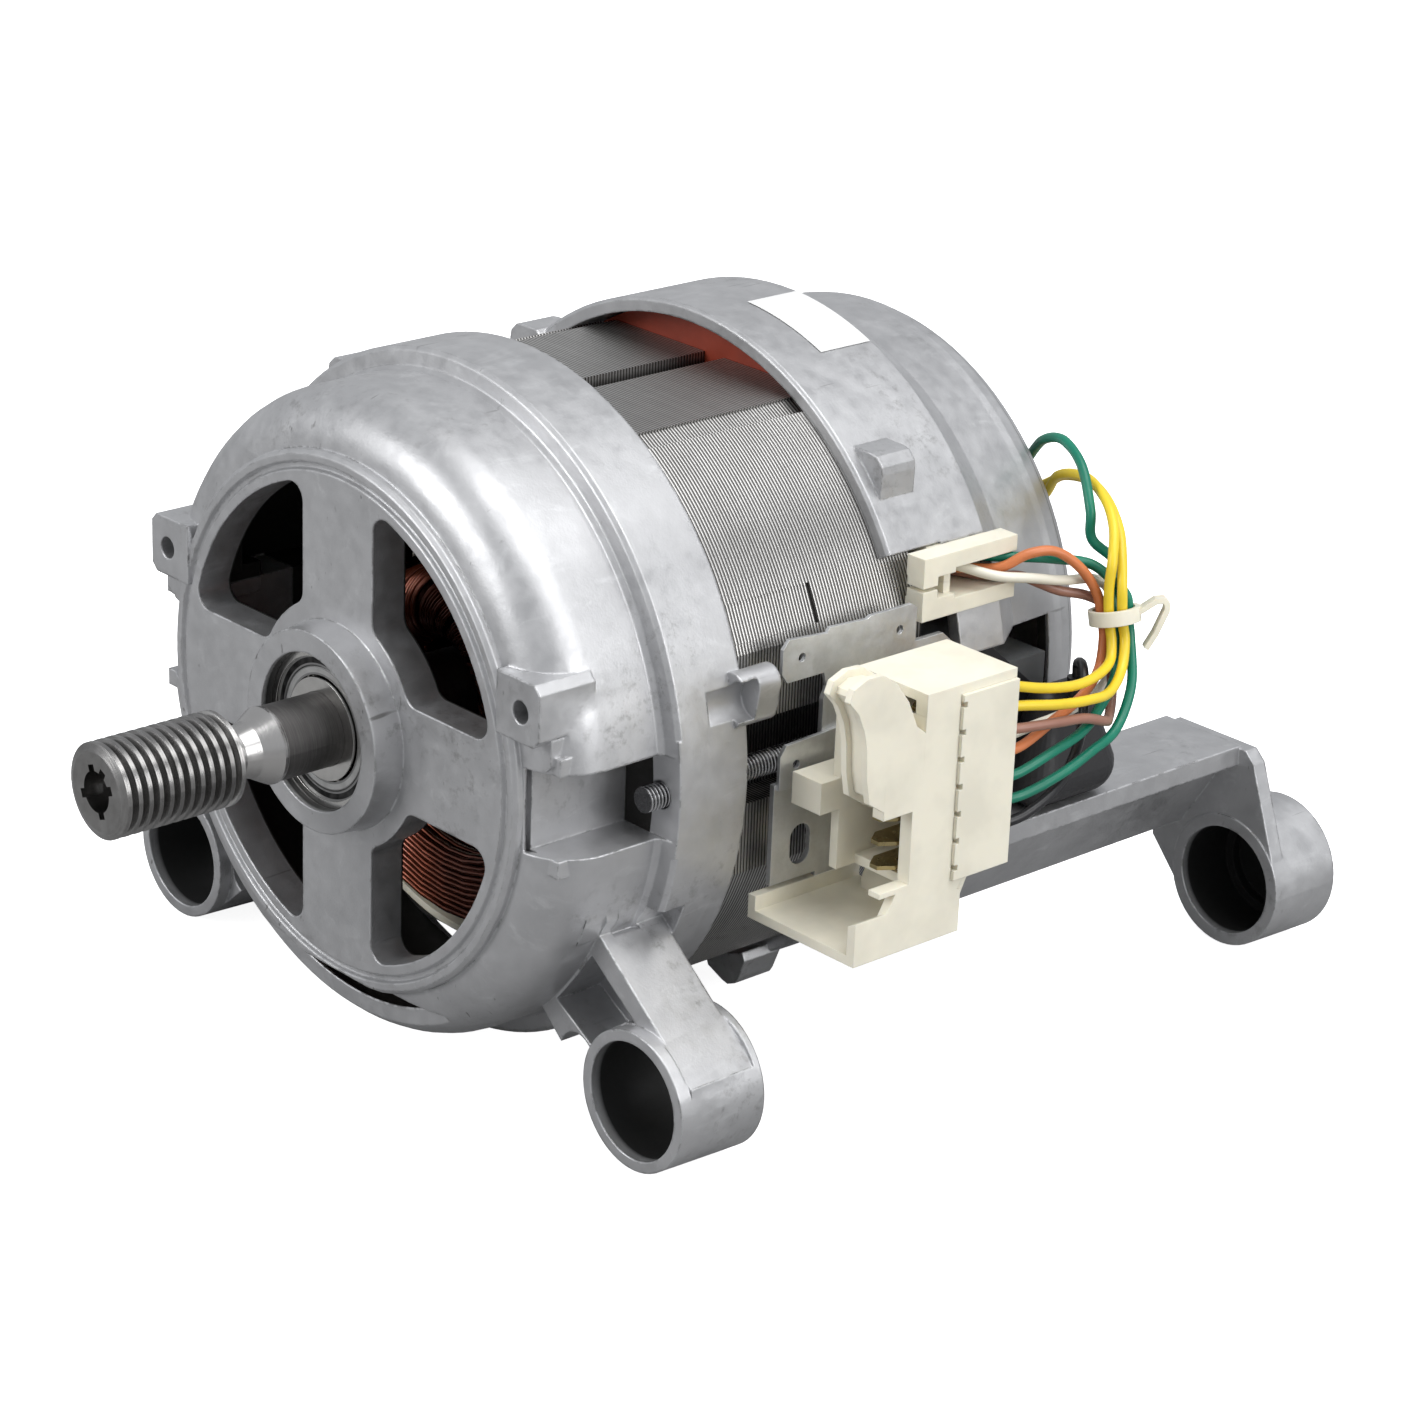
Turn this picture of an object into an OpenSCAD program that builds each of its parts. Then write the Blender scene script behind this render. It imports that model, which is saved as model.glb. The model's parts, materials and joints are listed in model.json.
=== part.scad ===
// Washing machine motor: brushed universal motor in two die-cast brackets.
// The shaft lies along Y with its pulley towards -Y. The origin is on the shaft axis,
// in the plane of the front mounting tubes' front faces.

/* [Shaft and pulley] */
// Diameter over the belt ribs
pulley_d = 19; // [17:0.5:22]
// Number of belt ribs
pulley_ribs = 12; // [8:1:13]
// Distance from one rib to the next
rib_pitch = 2.34; // [2.1:0.02:2.4]
// Depth of a belt groove
rib_depth = 1.7; // [1:0.1:2.2]
// Reach of the pulley's face ahead of the front tubes
shaft_reach = 70.2; // [66:0.2:76]
// Diameter of the neck behind the pulley
neck_d = 9.6; // [8:0.2:12]
// Length of the neck with its cone
neck_len = 10.8; // [8:0.2:12]
// Diameter of the shaft in the front bearing
shaft_d = 15; // [13:0.5:16]
// Diameter of the shaft inside the laminations
core_seat_d = 18; // [17:0.5:20]
// Diameter of the shaft in the rear bearing
rear_seat_d = 10; // [8:0.5:11]

/* [Bearings] */
// Outside diameter of the front bearing
front_bearing_od = 35; // [34:0.5:37]
// Width of the front bearing
front_bearing_w = 11; // [10:0.5:11.5]
// Outside diameter of the rear bearing
rear_bearing_od = 26; // [25:0.5:28]
// Width of the rear bearing
rear_bearing_w = 8; // [7:0.5:9]

/* [Stator and rotor] */
// Diameter of the stator across its round corners
stator_d = 134; // [131:0.5:138]
// Width of the stator across its side flats
stator_w = 126; // [122:0.5:128]
// Height of the stator across its top and bottom flats
stator_h = 116.6; // [112:0.2:122]
// Length of the stator stack
stack_len = 58; // [50:1:62]
// Diameter of the rotor laminations
rotor_d = 61; // [56:0.5:63]
// Running gap between rotor and stator
air_gap = 0.5; // [0.3:0.05:1]
// Number of rotor slots
rotor_slots = 12; // [10:2:14]

/* [Front bracket] */
// Reach of the hub ahead of the front tubes
hub_reach = 20.7; // [19.5:0.1:22]
// Reach of the spoked rim ahead of the front tubes
rim_reach = 14.3; // [13:0.1:16]
// Diameter of the rim
rim_d = 109; // [105:0.5:112]
// Diameter of the ring of windows
window_d = 97; // [90:0.5:100]
// Width of a spoke
spoke_w = 22; // [16:0.5:26]
// Diameter of the hub
hub_d = 44; // [42:0.5:50]
// Diameter of the opening in front of the bearing
hub_opening_d = 32; // [30:0.5:33]
// Diameter of the rounded shell
shell_d = 131; // [127:0.5:134]
// Thickness of the clamping flange over the stator
flange_wall = 3; // [2.5:0.1:5]
// Place of the flange's front step
flange_step = 13; // [10:0.5:16]
// Depth of the bracket behind the tubes' front faces
bracket_depth = 30; // [28:0.5:34]
// General wall of the castings
cast_wall = 3.5; // [2.5:0.1:4.5]

/* [Rear bracket] */
// Place of the rear bracket's front edge
rear_front = 73.6; // [70:0.2:77]
// Place of the rear bracket's end wall
rear_end = 132; // [130:0.5:136]
// Diameter of the rear drum
drum_d = 126; // [120:0.5:130]

/* [Mounting tubes] */
// Bore of a mounting tube
tube_bore = 24; // [20:0.5:25]
// Wall of a mounting tube
tube_wall = 2.3; // [1.8:0.1:4]
// Length of a front tube
front_tube_len = 20.5; // [16:0.5:22]
// Length of a rear tube
rear_tube_len = 18.5; // [14:0.5:24]
// Distance between left and right tubes
tube_spacing = 147.4; // [144:0.2:152]
// Height of the shaft above the tubes' axes
tube_drop = 56.8; // [55:0.2:60]
// Distance from the front tubes' faces to the rear tubes' faces
tube_pitch = 169.4; // [164:0.2:180]

/* [Brushes and commutator] */
// Diameter of the commutator
commutator_d = 35; // [32:0.5:37]
// Length of the commutator bars
commutator_len = 20; // [18:0.5:22]
// Number of commutator bars
bar_count = 24; // [20:2:30]
// Width of a carbon brush along the shaft
brush_w = 12.5; // [10:0.5:13.5]
// Thickness of a carbon brush
brush_t = 5; // [4:0.5:7]
// Length of a new carbon brush
brush_len = 30; // [24:0.5:31]

/* [Connector] */
// Length of the connector housing along the shaft
housing_len = 24; // [22:0.5:26]
// Height of the connector housing
housing_h = 40.2; // [38:0.2:42]
// Depth of the connector housing across the shaft
housing_w = 19; // [18:0.5:20]
// Wall of the connector mouldings
moulded_wall = 2; // [1.5:0.1:2.4]
// Number of contact blades
contact_count = 7; // [4:1:7]

/* [Wires] */
// Diameter of a wire over its insulation
wire_d = 2.1; // [1.9:0.05:2.15]

/* [Hidden] */

// Clearance of a light press or seat, on the radius
seat_gap = 0.02;
// Small step that keeps a cut through a face
through = 1;

rim_y = -rim_reach;
hub_y = -hub_reach;
stack_front = bracket_depth - 6;
stack_back = stack_front + stack_len;
flange_d = max(stator_d + 2 * flange_wall, shell_d + 4);
seat_d = stator_d + 2 * seat_gap;
shell_in_d = shell_d - 2 * cast_wall;
bolt_x = (stator_w + 3) / 2;
bolt_d = 5;
bolt_gap = 0.3;

pulley_front = -shaft_reach;
pulley_back = pulley_front + pulley_ribs * rib_pitch;
collar_y = pulley_back + neck_len;
front_bearing_y = hub_y + 2.5;
front_bearing_back = front_bearing_y + front_bearing_w;
rear_bearing_y = rear_end - 6;
rear_bearing_back = rear_bearing_y + rear_bearing_w;
commutator_y = stack_back + 18;
commutator_back = commutator_y + commutator_len;
brush_y = commutator_y + commutator_len / 2;
rear_tube_y = tube_pitch;
tube_x = tube_spacing / 2;
tube_d = tube_bore + 2 * tube_wall;
lug_depth = 7;
clamp_y = stack_back + lug_depth;
washer_t = 0.8;
sheet_t = 1.2;
carrier_x = bolt_x + bolt_d / 2 + 1;

cast_color = [0.66, 0.67, 0.68];
steel_color = [0.72, 0.72, 0.73];
dark_steel_color = [0.22, 0.22, 0.23];
copper_color = [0.72, 0.36, 0.2];
cream_color = [0.93, 0.9, 0.78];
black_color = [0.08, 0.08, 0.09];

// Turns local +Z into +Y, so that a profile is written as [radius, y]
module along_y(y = 0) translate([0, y, 0]) rotate([-90, 0, 0]) children();

module turned(profile, y = 0, fn = 96) along_y(y) rotate_extrude($fn = fn) polygon(profile);

// Extrudes an outline drawn as [x, z] from y0 to y1
module plate_xz(y0, y1) translate([0, y1, 0]) rotate([90, 0, 0]) linear_extrude(y1 - y0) children();

// Extrudes an outline drawn as [y, z] from x0 to x1
module plate_yz(x0, x1) translate([x0, 0, 0]) rotate([90, 0, 90]) linear_extrude(x1 - x0) children();

module rod_y(r, y0, y1, x = 0, z = 0)
    translate([x, y0, z]) rotate([-90, 0, 0]) cylinder(r = r, h = y1 - y0, $fn = 48);

module rod_x(r, x0, x1, y = 0, z = 0)
    translate([x0, y, z]) rotate([0, 90, 0]) cylinder(r = r, h = x1 - x0, $fn = 48);

module block(from, to) translate(from) cube(to - from);

module both_sides() {
    children();
    mirror([1, 0, 0]) children();
}

module ring_y(outer_r, inner_r, y0, y1, fn = 96) difference() {
    along_y(y0) cylinder(r = outer_r, h = y1 - y0, $fn = fn);
    along_y(y0 - through) cylinder(r = inner_r, h = y1 - y0 + 2 * through, $fn = fn);
}

function arc(center, r, from, to, steps) = [
    for (i = [0:steps]) let (a = from + (to - from) * i / steps) center + r * [cos(a), sin(a)]
];

// Front bracket: spoked face, hub, rounded shell, clamping flange, ears, legs and tubes

window_inner_r = hub_d / 2 + 3;
window_corner = 3.5;
spoke_depth = 8;
pocket_half = 8.5;
pocket_floor = rim_d / 2;
ear_x = 56;
ear_z = 20.6;
ear_hole_d = 4.6;
ear_hole_depth = 17;
rim_flat_z = -52.7;

module front_shell_profile() {
    shoulder = (shell_d - rim_d) / 2;
    shoulder_y = rim_y + 2 + shoulder;
    groove_r = window_d / 2 + 2;
    polygon(concat(
        [
            [window_d / 2, rim_y],
            [groove_r, rim_y], [groove_r + 0.5, rim_y + 0.9],
            [groove_r + 1.3, rim_y + 0.9], [groove_r + 1.8, rim_y],
            [rim_d / 2 - 0.8, rim_y], [rim_d / 2, rim_y + 0.8]
        ],
        arc([rim_d / 2, shoulder_y], shoulder, -90, 0, 8),
        [
            [shell_d / 2, flange_step - 1.5], [shell_d / 2 + 0.8, flange_step - 0.4],
            [flange_d / 2 - 0.8, flange_step], [flange_d / 2, flange_step + 0.8],
            [flange_d / 2, bracket_depth], [seat_d / 2, bracket_depth],
            [seat_d / 2, stack_front], [shell_in_d / 2, stack_front]
        ],
        arc([rim_d / 2 - cast_wall, shoulder_y], shoulder, 0, -80, 6),
        [[window_d / 2, rim_y + spoke_depth]]
    ));
}

module window_outline() {
    offset(r = window_corner, $fn = 24) offset(delta = -window_corner) difference() {
        intersection() {
            circle(d = window_d, $fn = 96);
            translate([spoke_w / 2, spoke_w / 2]) square(window_d);
        }
        circle(r = window_inner_r, $fn = 64);
    }
}

module front_face() {
    difference() {
        along_y(rim_y) cylinder(d = window_d + 1, h = spoke_depth, $fn = 96);
        for (a = [0:90:270])
            translate([0, rim_y + spoke_depth + through, 0]) rotate([90, 0, 0]) rotate(a)
                linear_extrude(spoke_depth + 2 * through) window_outline();
    }
}

module leg_outline(top_x, top_z) hull() {
    translate([tube_x, -tube_drop]) circle(d = tube_d, $fn = 48);
    translate([top_x, top_z]) circle(r = 6, $fn = 24);
    translate([tube_x + 2, top_z - 6]) circle(r = 9, $fn = 24);
    translate([44, -46]) circle(r = 3, $fn = 24);
}

// The drafted tube with the legs' web, a rib on the web and a hollow under it
module front_leg() {
    plate_xz(3, front_tube_len - 2) difference() {
        leg_outline(60, -35);
        circle(d = shell_in_d + 2, $fn = 96);
        translate([54, -56]) circle(r = 5, $fn = 32);
    }
    along_y() translate([tube_x, tube_drop, 0])
        cylinder(r1 = tube_d / 2, r2 = tube_d / 2 + 0.6, h = front_tube_len, $fn = 64);
    plate_xz(-2, 6) difference() {
        polygon([[58, -20], [61, -20], [64, -42], [60, -44]]);
        circle(d = shell_in_d + 2, $fn = 96);
    }
}

module tube_bore_cut(y, length) {
    rod_y(tube_bore / 2, y - through, y + length + through, tube_x, -tube_drop);
}

module ear() {
    plate_xz(rim_y - 0.4, rim_y + 13)
        translate([ear_x, ear_z])
            polygon([[-7, -6], [3.8, -6], [5.4, -4.4], [5.4, 4.8], [3.8, 6.4], [-7, 6.4]]);
    plate_xz(rim_y + 3, 4) polygon([[50, 9], [59.5, 9], [61, 10.5], [61, ear_z - 5], [50, ear_z - 5]]);
}

// The seat of a through bolt: the pocket's floor, its side walls and the bolt's boss
module pocket_walls() {
    block([pocket_floor - cast_wall, rim_y + 4, -pocket_half - cast_wall],
        [pocket_floor, flange_step, pocket_half + cast_wall]);
    for (side = [-1, 1])
        block([pocket_floor - cast_wall, rim_y + 4, side * (pocket_half + cast_wall / 2) - cast_wall / 2],
            [shell_d / 2 - 3, flange_step, side * (pocket_half + cast_wall / 2) + cast_wall / 2]);
    intersection() {
        block([pocket_floor - cast_wall, flange_step, -pocket_half - cast_wall],
            [flange_d / 2, bracket_depth - 6, pocket_half + cast_wall]);
        along_y(flange_step) cylinder(d = flange_d, h = bracket_depth, $fn = 96);
    }
}

// The niche in the flange and the stop block behind it, right side only
niche_z = 17;

module niche_block() plate_xz(bracket_depth - 3, bracket_depth + 6.5) difference() {
    hull() {
        translate([68, niche_z + 2]) circle(r = 3.4, $fn = 24);
        translate([67.5, niche_z - 3]) circle(r = 3, $fn = 24);
        translate([64, niche_z]) circle(r = 2, $fn = 24);
    }
    circle(d = seat_d, $fn = 96);
}

module front_bracket() color(cast_color) difference() {
    union() {
        along_y() rotate_extrude($fn = 96) front_shell_profile();
        front_face();
        along_y(hub_y) cylinder(d1 = hub_d - 3, d2 = hub_d, h = front_bearing_w + 4.5, $fn = 96);
        both_sides() {
            front_leg();
            ear();
            pocket_walls();
        }
        niche_block();
        lug(132, bracket_depth - 8, bracket_depth + 2);
    }
    along_y(hub_y - through) cylinder(d = hub_opening_d, h = hub_reach, $fn = 96);
    along_y(front_bearing_y) cylinder(d = front_bearing_od + 2 * seat_gap, h = 30, $fn = 96);
    block([-30, rim_y - through, rim_flat_z - 10], [30, rim_y + 5, rim_flat_z]);
    both_sides() {
        tube_bore_cut(0, front_tube_len);
        rod_y(ear_hole_d / 2, rim_y - 2, rim_y + ear_hole_depth, ear_x, ear_z);
        rod_y(bolt_d / 2 + bolt_gap, flange_step - through, bracket_depth + through, bolt_x);
        block([pocket_floor, rim_y - through, -pocket_half], [shell_d, flange_step, pocket_half]);
    }
    rod_y(4.2, bracket_depth - 9, bracket_depth + through, 70.5, niche_z);
}

// A cast lug on the outside of a bracket, at an angle round the shaft
module lug(angle, y0, y1) {
    plate_xz(y0, y1) rotate(angle) difference() {
        translate([flange_d / 2, 0])
            polygon([[-2, -6], [0, -6], [3.4, -2.6], [4.4, -1.2], [4.4, 1.2], [3.4, 2.6], [0, 6], [-2, 6]]);
        circle(d = seat_d, $fn = 96);
    }
}

// Rear bracket: arched cover, drum, end wall with the rear bearing's hub, arms and tubes

rear_wall = 3;
arch_from = 29;
arch_to = 151;
rear_hub_d = rear_bearing_od + 8;
rear_hub_back = rear_bearing_back + 4;
window_low = 22;
window_high = 33.5;
window_front = stack_back + 2;
window_back = stack_back + 18;
pocket_back = stack_back + 10;
arm_top = -25.5;
arm_bottom = -47.5;

function pie(from, to, r) = concat([[0, 0]], arc([0, 0], r, from, to, 8));

module rear_shell_profile() {
    taper_y = 100;
    polygon(concat(
        [
            [seat_d / 2, rear_front], [flange_d / 2 - 0.6, rear_front], [flange_d / 2, rear_front + 0.6],
            [flange_d / 2, taper_y], [drum_d / 2 + 1, taper_y + 9], [drum_d / 2, taper_y + 22]
        ],
        arc([drum_d / 2 - 8, rear_end - 8], 8, 0, 90, 5),
        [[rear_hub_d / 2 - 2, rear_end], [rear_hub_d / 2 - 2, rear_end - rear_wall]],
        arc([drum_d / 2 - 8, rear_end - 8], 8 - rear_wall, 90, 0, 4),
        [
            [drum_d / 2 - rear_wall, taper_y + 9], [stator_d / 2 - 4, taper_y],
            [stator_d / 2 - 4, pocket_back], [seat_d / 2, pocket_back]
        ]
    ));
}

// What the rear shell leaves open: both sides of the ring and the lower flanks of the drum
module rear_shell_openings() {
    plate_xz(rear_front - through, stack_back + 6) {
        polygon(pie(-arch_from, arch_from, flange_d));
        polygon(pie(180 - arch_from, 180 + arch_from, flange_d));
    }
    both_sides() {
        block([30, stack_back, -38], [flange_d, rear_end - 12, 12]);
        block([40, rear_front - through, -52], [flange_d, stack_back + 2, -20]);
        block([50, window_front, window_low], [flange_d, window_back, window_high]);
    }
}

// Both segments between the stator's flats and the round seat
module insulation_dome(d) intersection() {
    circle(d = d, $fn = 96);
    difference() {
        square(d, center = true);
        square([d + 2, stator_d - 20.4], center = true);
    }
}

// Vent slots in the end wall, between its ribs
module end_wall_vents() {
    for (a = [30:60:330])
        plate_xz(rear_end - rear_wall - through, rear_end + through) rotate(a) difference() {
            polygon(pie(-15, 15, drum_d / 2 - 14));
            circle(r = rear_hub_d / 2 + 6, $fn = 64);
        }
}

arm_inner = 53;
arm_outer = 74.5;
arm_foot = 60;

// A top flange with a web that slants down and inwards from its outer edge, and three ribs
module rear_arm() {
    root_y = stack_back + 4;
    plate_xz(root_y, rear_tube_y + 1) {
        polygon([[arm_inner, arm_top], [arm_outer, arm_top], [arm_outer, arm_top - cast_wall - 0.8],
            [arm_inner, arm_top - cast_wall - 0.8]]);
        polygon([[arm_outer - 7, arm_top - 2], [arm_outer - 2, arm_top - 2], [arm_foot, arm_bottom],
            [arm_foot - 4, arm_bottom]]);
    }
    for (y = [root_y, 126, 148])
        plate_xz(y, y + cast_wall)
            polygon([[arm_inner, arm_top - 1], [arm_outer - 3, arm_top - 3.5],
                [arm_foot - 1, arm_bottom], [arm_inner, arm_bottom]]);
}

module rear_tube() {
    along_y(rear_tube_y) translate([tube_x, tube_drop, 0])
        cylinder(r1 = tube_d / 2 + 0.4, r2 = tube_d / 2 + 0.9, h = rear_tube_len, $fn = 64);
    left = arm_inner - 0.6;
    plate_xz(rear_tube_y + 0.3, rear_tube_y + 4)
        polygon([[left, arm_top - 3], [left + 2, arm_top - 0.6], [tube_x + 2.5, arm_top - 0.6],
            [tube_x + 5, arm_top - 3], [tube_x + tube_d / 2 - 0.7, 4.8 - tube_drop], [tube_x + 13, -4 - tube_drop],
            [tube_x - 10, -9 - tube_drop], [left, 3.5 - tube_drop]]);
}

// Ties the arms' roots to the drum across the underside
module rear_floor() {
    intersection() {
        ring_y(drum_d / 2, drum_d / 2 - cast_wall, pocket_back, rear_end - 4);
        block([-70, stack_back, -80], [70, rear_end, -25]);
    }
    both_sides() block([44, stack_back + 4, arm_bottom], [56, stack_back + 4 + cast_wall, arm_top]);
}

module rear_bracket() color(cast_color) difference() {
    union() {
        difference() {
            along_y() rotate_extrude($fn = 96) rear_shell_profile();
            rear_shell_openings();
            end_wall_vents();
        }
        along_y(rear_bearing_y - 3) cylinder(d = rear_hub_d, h = rear_bearing_w + 7, $fn = 64);
        rear_floor();
        both_sides() {
            rear_arm();
            rear_tube();
            bolt_lug();
        }
        lug(134, rear_front - 2, rear_front + 8);
        lug(43, rear_front + 3, rear_front + 12);
        lug(-67, rear_front - 7, rear_front + 3);
        for (z = [-post_z, post_z]) both_sides() rod_y(4, holder_y1, rear_end - rear_wall + 1, post_x, z);
    }
    along_y(rear_bearing_y) cylinder(d = rear_bearing_od + 2 * seat_gap, h = rear_bearing_w + 10, $fn = 64);
    along_y(rear_bearing_y - 10) cylinder(d = rear_bearing_od - 4, h = 20, $fn = 64);
    both_sides() {
        for (z = [-post_z, post_z]) rod_y(screw_r + seat_gap, holder_y1 - through, holder_y1 + 8, post_x, z);
        rod_y(tube_bore / 2, rear_tube_y - through, rear_tube_y + rear_tube_len - 4, tube_x, -tube_drop);
        rod_y(tube_bore / 2 - 2, rear_tube_y, rear_tube_y + rear_tube_len - 1.8, tube_x, -tube_drop);
        rod_y(bolt_d / 2 + bolt_gap, rear_front, stack_back + 20, bolt_x);
    }
}

// The ear at each side that a through bolt pulls against the stator
module bolt_lug() {
    plate_xz(stack_back, clamp_y) difference() {
        union() {
            translate([bolt_x, 0]) circle(r = 6, $fn = 48);
            polygon([[60, -32], [66, -22], [bolt_x + 4, -4], [bolt_x - 6, -4], [54, -30]]);
        }
        circle(r = 56, $fn = 96);
    }
}

// Stator core: two half stacks, the rear one turned over

module stator_half_outline() {
    notch_z = 29.5;
    difference() {
        intersection() {
            circle(d = stator_d, $fn = 120);
            square([stator_w, stator_h], center = true);
        }
        for (side = [-1, 1]) {
            translate([0, side * stator_h / 2]) square([6, 5], center = true);
            translate([side * stator_w / 2, 0]) square([14, 17], center = true);
            for (top = [-1, 1])
                translate([side * 33.5, top * stator_h / 2]) rotate(side * top * -30)
                    square([5, 4], center = true);
        }
        translate([stator_w / 2, notch_z]) rotate(25) square([7, 8], center = true);
        translate([-stator_w / 2, -notch_z]) rotate(25) square([7, 8], center = true);
        stator_bore_outline();
    }
}

winding_slot_r = stator_w / 2 - 13;

// The round bore with a winding slot at each side of both poles
module stator_bore_outline() {
    circle(d = rotor_d + 2 * air_gap, $fn = 120);
    for (side = [0, 180])
        rotate(side) difference() {
            intersection() {
                circle(r = winding_slot_r, $fn = 96);
                polygon(pie(-44, 44, 80));
            }
            polygon([[0, 0], [0, -24], [23.5, -24], [23.5, 24], [0, 24]]);
        }
}

module stator_core() color(steel_color) {
    half = stack_len * 0.53;
    plate_xz(stack_front, stack_front + half) stator_half_outline();
    plate_xz(stack_front + half, stack_back) mirror([0, 1]) stator_half_outline();
}

// Insulation between the coils and the stack's ends

insulation_t = 1.6;

module pole_insulation_outline(outer_r) {
    difference() {
        intersection() {
            circle(r = outer_r, $fn = 96);
            square([stator_w - 18, 2 * outer_r], center = true);
        }
        stator_bore_outline();
        square([stator_w, 2 * (pocket_half + cast_wall) + 1], center = true);
    }
}

module front_pole_insulation() color(cream_color) {
    plate_xz(stack_front - 1.4, stack_front) pole_insulation_outline(55);
    for (side = [0, 180])
        along_y(stack_front - 8) rotate(side) difference() {
            cylinder(r = 52.5, h = 6.7, $fn = 96);
            translate([0, 0, -through]) cylinder(r = 51, h = 9, $fn = 96);
            translate([-60, -20, -through]) cube([120, 80, 9]);
        }
}

module rear_pole_insulation() color([0.5, 0.16, 0.1]) {
    plate_xz(stack_back, stack_back + insulation_t) difference() {
        circle(d = stator_d - 9, $fn = 96);
        translate([-stator_w / 2, -34]) square([stator_w, 60]);
        stator_bore_outline();
    }
    plate_xz(stack_back, stack_back + 3.8) difference() {
        intersection() {
            circle(d = stator_d - 9, $fn = 96);
            union() for (side = [0, 180]) rotate(side) translate([-60, 33]) square([120, 60]);
        }
        circle(d = stator_d - 13, $fn = 96);
    }
    plate_xz(stack_back, pocket_back - 0.5) insulation_dome(seat_d - 0.6);
}

// Field coils: each is one tube wound in saddle loops round its pole

coil_loops = 8;
coil_inner_r = rotor_d / 2 + air_gap + 3.2;
coil_pitch = (winding_slot_r - 0.5 - coil_inner_r) / (coil_loops / 2 + 0.5);
coil_wire_d = coil_pitch - 0.6;
coil_sides = 6;
coil_rings = 24;
coil_front_y = stack_front - 5.5;
coil_back_y = stack_back + 5.5;
coil_half_angle = 58;
layer_angle = 8;
layer_rise = 4.2;
lead_angle = 100;
lead_r = 54;

// One ring's place on a saddle loop: s runs once round the loop from the middle of its back end turn
function saddle(s, r, half_angle, overhang) =
    let (
        q = (s - floor(s)) * 4 + 1.5,
        leg = floor(q) % 4,
        t = q - floor(q),
        front = coil_front_y - overhang,
        back = coil_back_y + overhang,
        a0 = 90 - half_angle,
        a1 = 90 + half_angle,
        angle = leg == 0 ? a0 : leg == 1 ? a0 + (a1 - a0) * t : leg == 2 ? a1 : a1 + (a0 - a1) * t,
        along = front + (back - front) * (leg == 0 ? t : 1 - t),
        y = leg == 1 ? back : leg == 3 ? front : along
    )
    polar(angle, r, y);

function polar(angle, r, y) = [r * cos(angle), y, r * sin(angle)];

// Loops step outwards in the inner layer, climb, and step back inwards in the outer layer
function coil_point(i) =
    let (
        turn = i / coil_rings,
        half = coil_loops / 2,
        k = turn < half ? turn : 2 * half - turn,
        climb = min(max(2 * (turn - half) + 0.5, 0), 1)
    )
    saddle(turn, coil_inner_r + k * coil_pitch, coil_half_angle + climb * layer_angle, climb * layer_rise);

// The least distance between parts of a path that lie more than skip rings apart, less the tube
function least_gap(points, d, skip) =
    let (count = len(points))
    min([for (i = [0:count - skip - 2], j = [i + skip + 1:count - 1]) norm(points[i] - points[j])]) - d;

function unit(v) = v / max(norm(v), 0.000001);

// A tube swept along points, closed at both ends
module swept_tube(points, r, sides) {
    count = len(points);
    directions = [
        for (i = [0:count - 1])
            unit(points[min(i + 1, count - 1)] - points[max(i - 1, 0)])
    ];
    rings = [
        for (i = [0:count - 1])
            let (
                d = directions[i],
                helper = abs(d.z) < 0.8 ? [0, 0, 1] : [1, 0, 0],
                u = unit(cross(d, helper)),
                v = cross(d, u)
            )
            for (s = [0:sides - 1]) points[i] + r * (cos(360 * s / sides) * u + sin(360 * s / sides) * v)
    ];
    walls = [
        for (i = [0:count - 2], s = [0:sides - 1])
            let (a = i * sides + s, b = i * sides + (s + 1) % sides)
            each [[a, b + sides, b], [a, a + sides, b + sides]]
    ];
    first = [for (s = [1:sides - 2]) [0, s, s + 1]];
    last = [for (s = [1:sides - 2]) let (o = (count - 1) * sides) [o, o + s + 1, o + s]];
    polyhedron(rings, concat(walls, first, last));
}

module field_coil() {
    crossing_y = coil_back_y + 2 * layer_rise + 0.6;
    points = concat(
        [polar(90, coil_inner_r, stack_back + insulation_t)],
        [for (i = [0:coil_loops * coil_rings]) coil_point(i)],
        [
            polar(lead_angle, coil_inner_r, crossing_y - 1.4),
            polar(lead_angle, coil_inner_r + 6, crossing_y),
            polar(lead_angle, lead_r - 7, crossing_y), polar(lead_angle, lead_r, crossing_y - 2),
            polar(lead_angle, lead_r, stack_back + insulation_t)
        ]
    );
    echo(field_coil_gap = least_gap(points, coil_wire_d, 4));
    swept_tube(points, coil_wire_d / 2, coil_sides);
}

module upper_field_coil() color(copper_color) field_coil();

module lower_field_coil() color(copper_color) mirror([0, 0, 1]) field_coil();

// Through bolts: heads on the rear bracket's ears, at the right over the terminal carrier's foot,
// and threaded ends in the front pockets
module through_bolts() color(steel_color) {
    through_bolt(sheet_t);
    mirror([1, 0, 0]) through_bolt(0);
}

module through_bolt(foot) {
    rod_y(bolt_d / 2, flange_step - 4.5, clamp_y + foot, bolt_x);
    rod_y(4.2, clamp_y + foot, clamp_y + foot + 4, bolt_x);
}

// Bearings: each has an outer ring, an inner ring and a cage of balls, with a race in both rings

front_pitch_r = (front_bearing_od + shaft_d) / 4;
front_ball_r = 2.9;
front_balls = 8;
rear_pitch_r = (rear_bearing_od + rear_seat_d) / 4;
rear_ball_r = 2.2;
rear_balls = 7;
race_gap = 0.06;
ring_lip = 0.72;

module bearing_ring(outer_r, inner_r, y, w, pitch_r, ball_r) difference() {
    ring_y(outer_r, inner_r, y, y + w);
    along_y(y + w / 2) rotate_extrude($fn = 96)
        translate([pitch_r, 0]) circle(r = ball_r + race_gap, $fn = 32);
}

module bearing_outer(od, y, w, pitch_r, ball_r)
    bearing_ring(od / 2, pitch_r + ball_r * ring_lip, y, w, pitch_r, ball_r);

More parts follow.
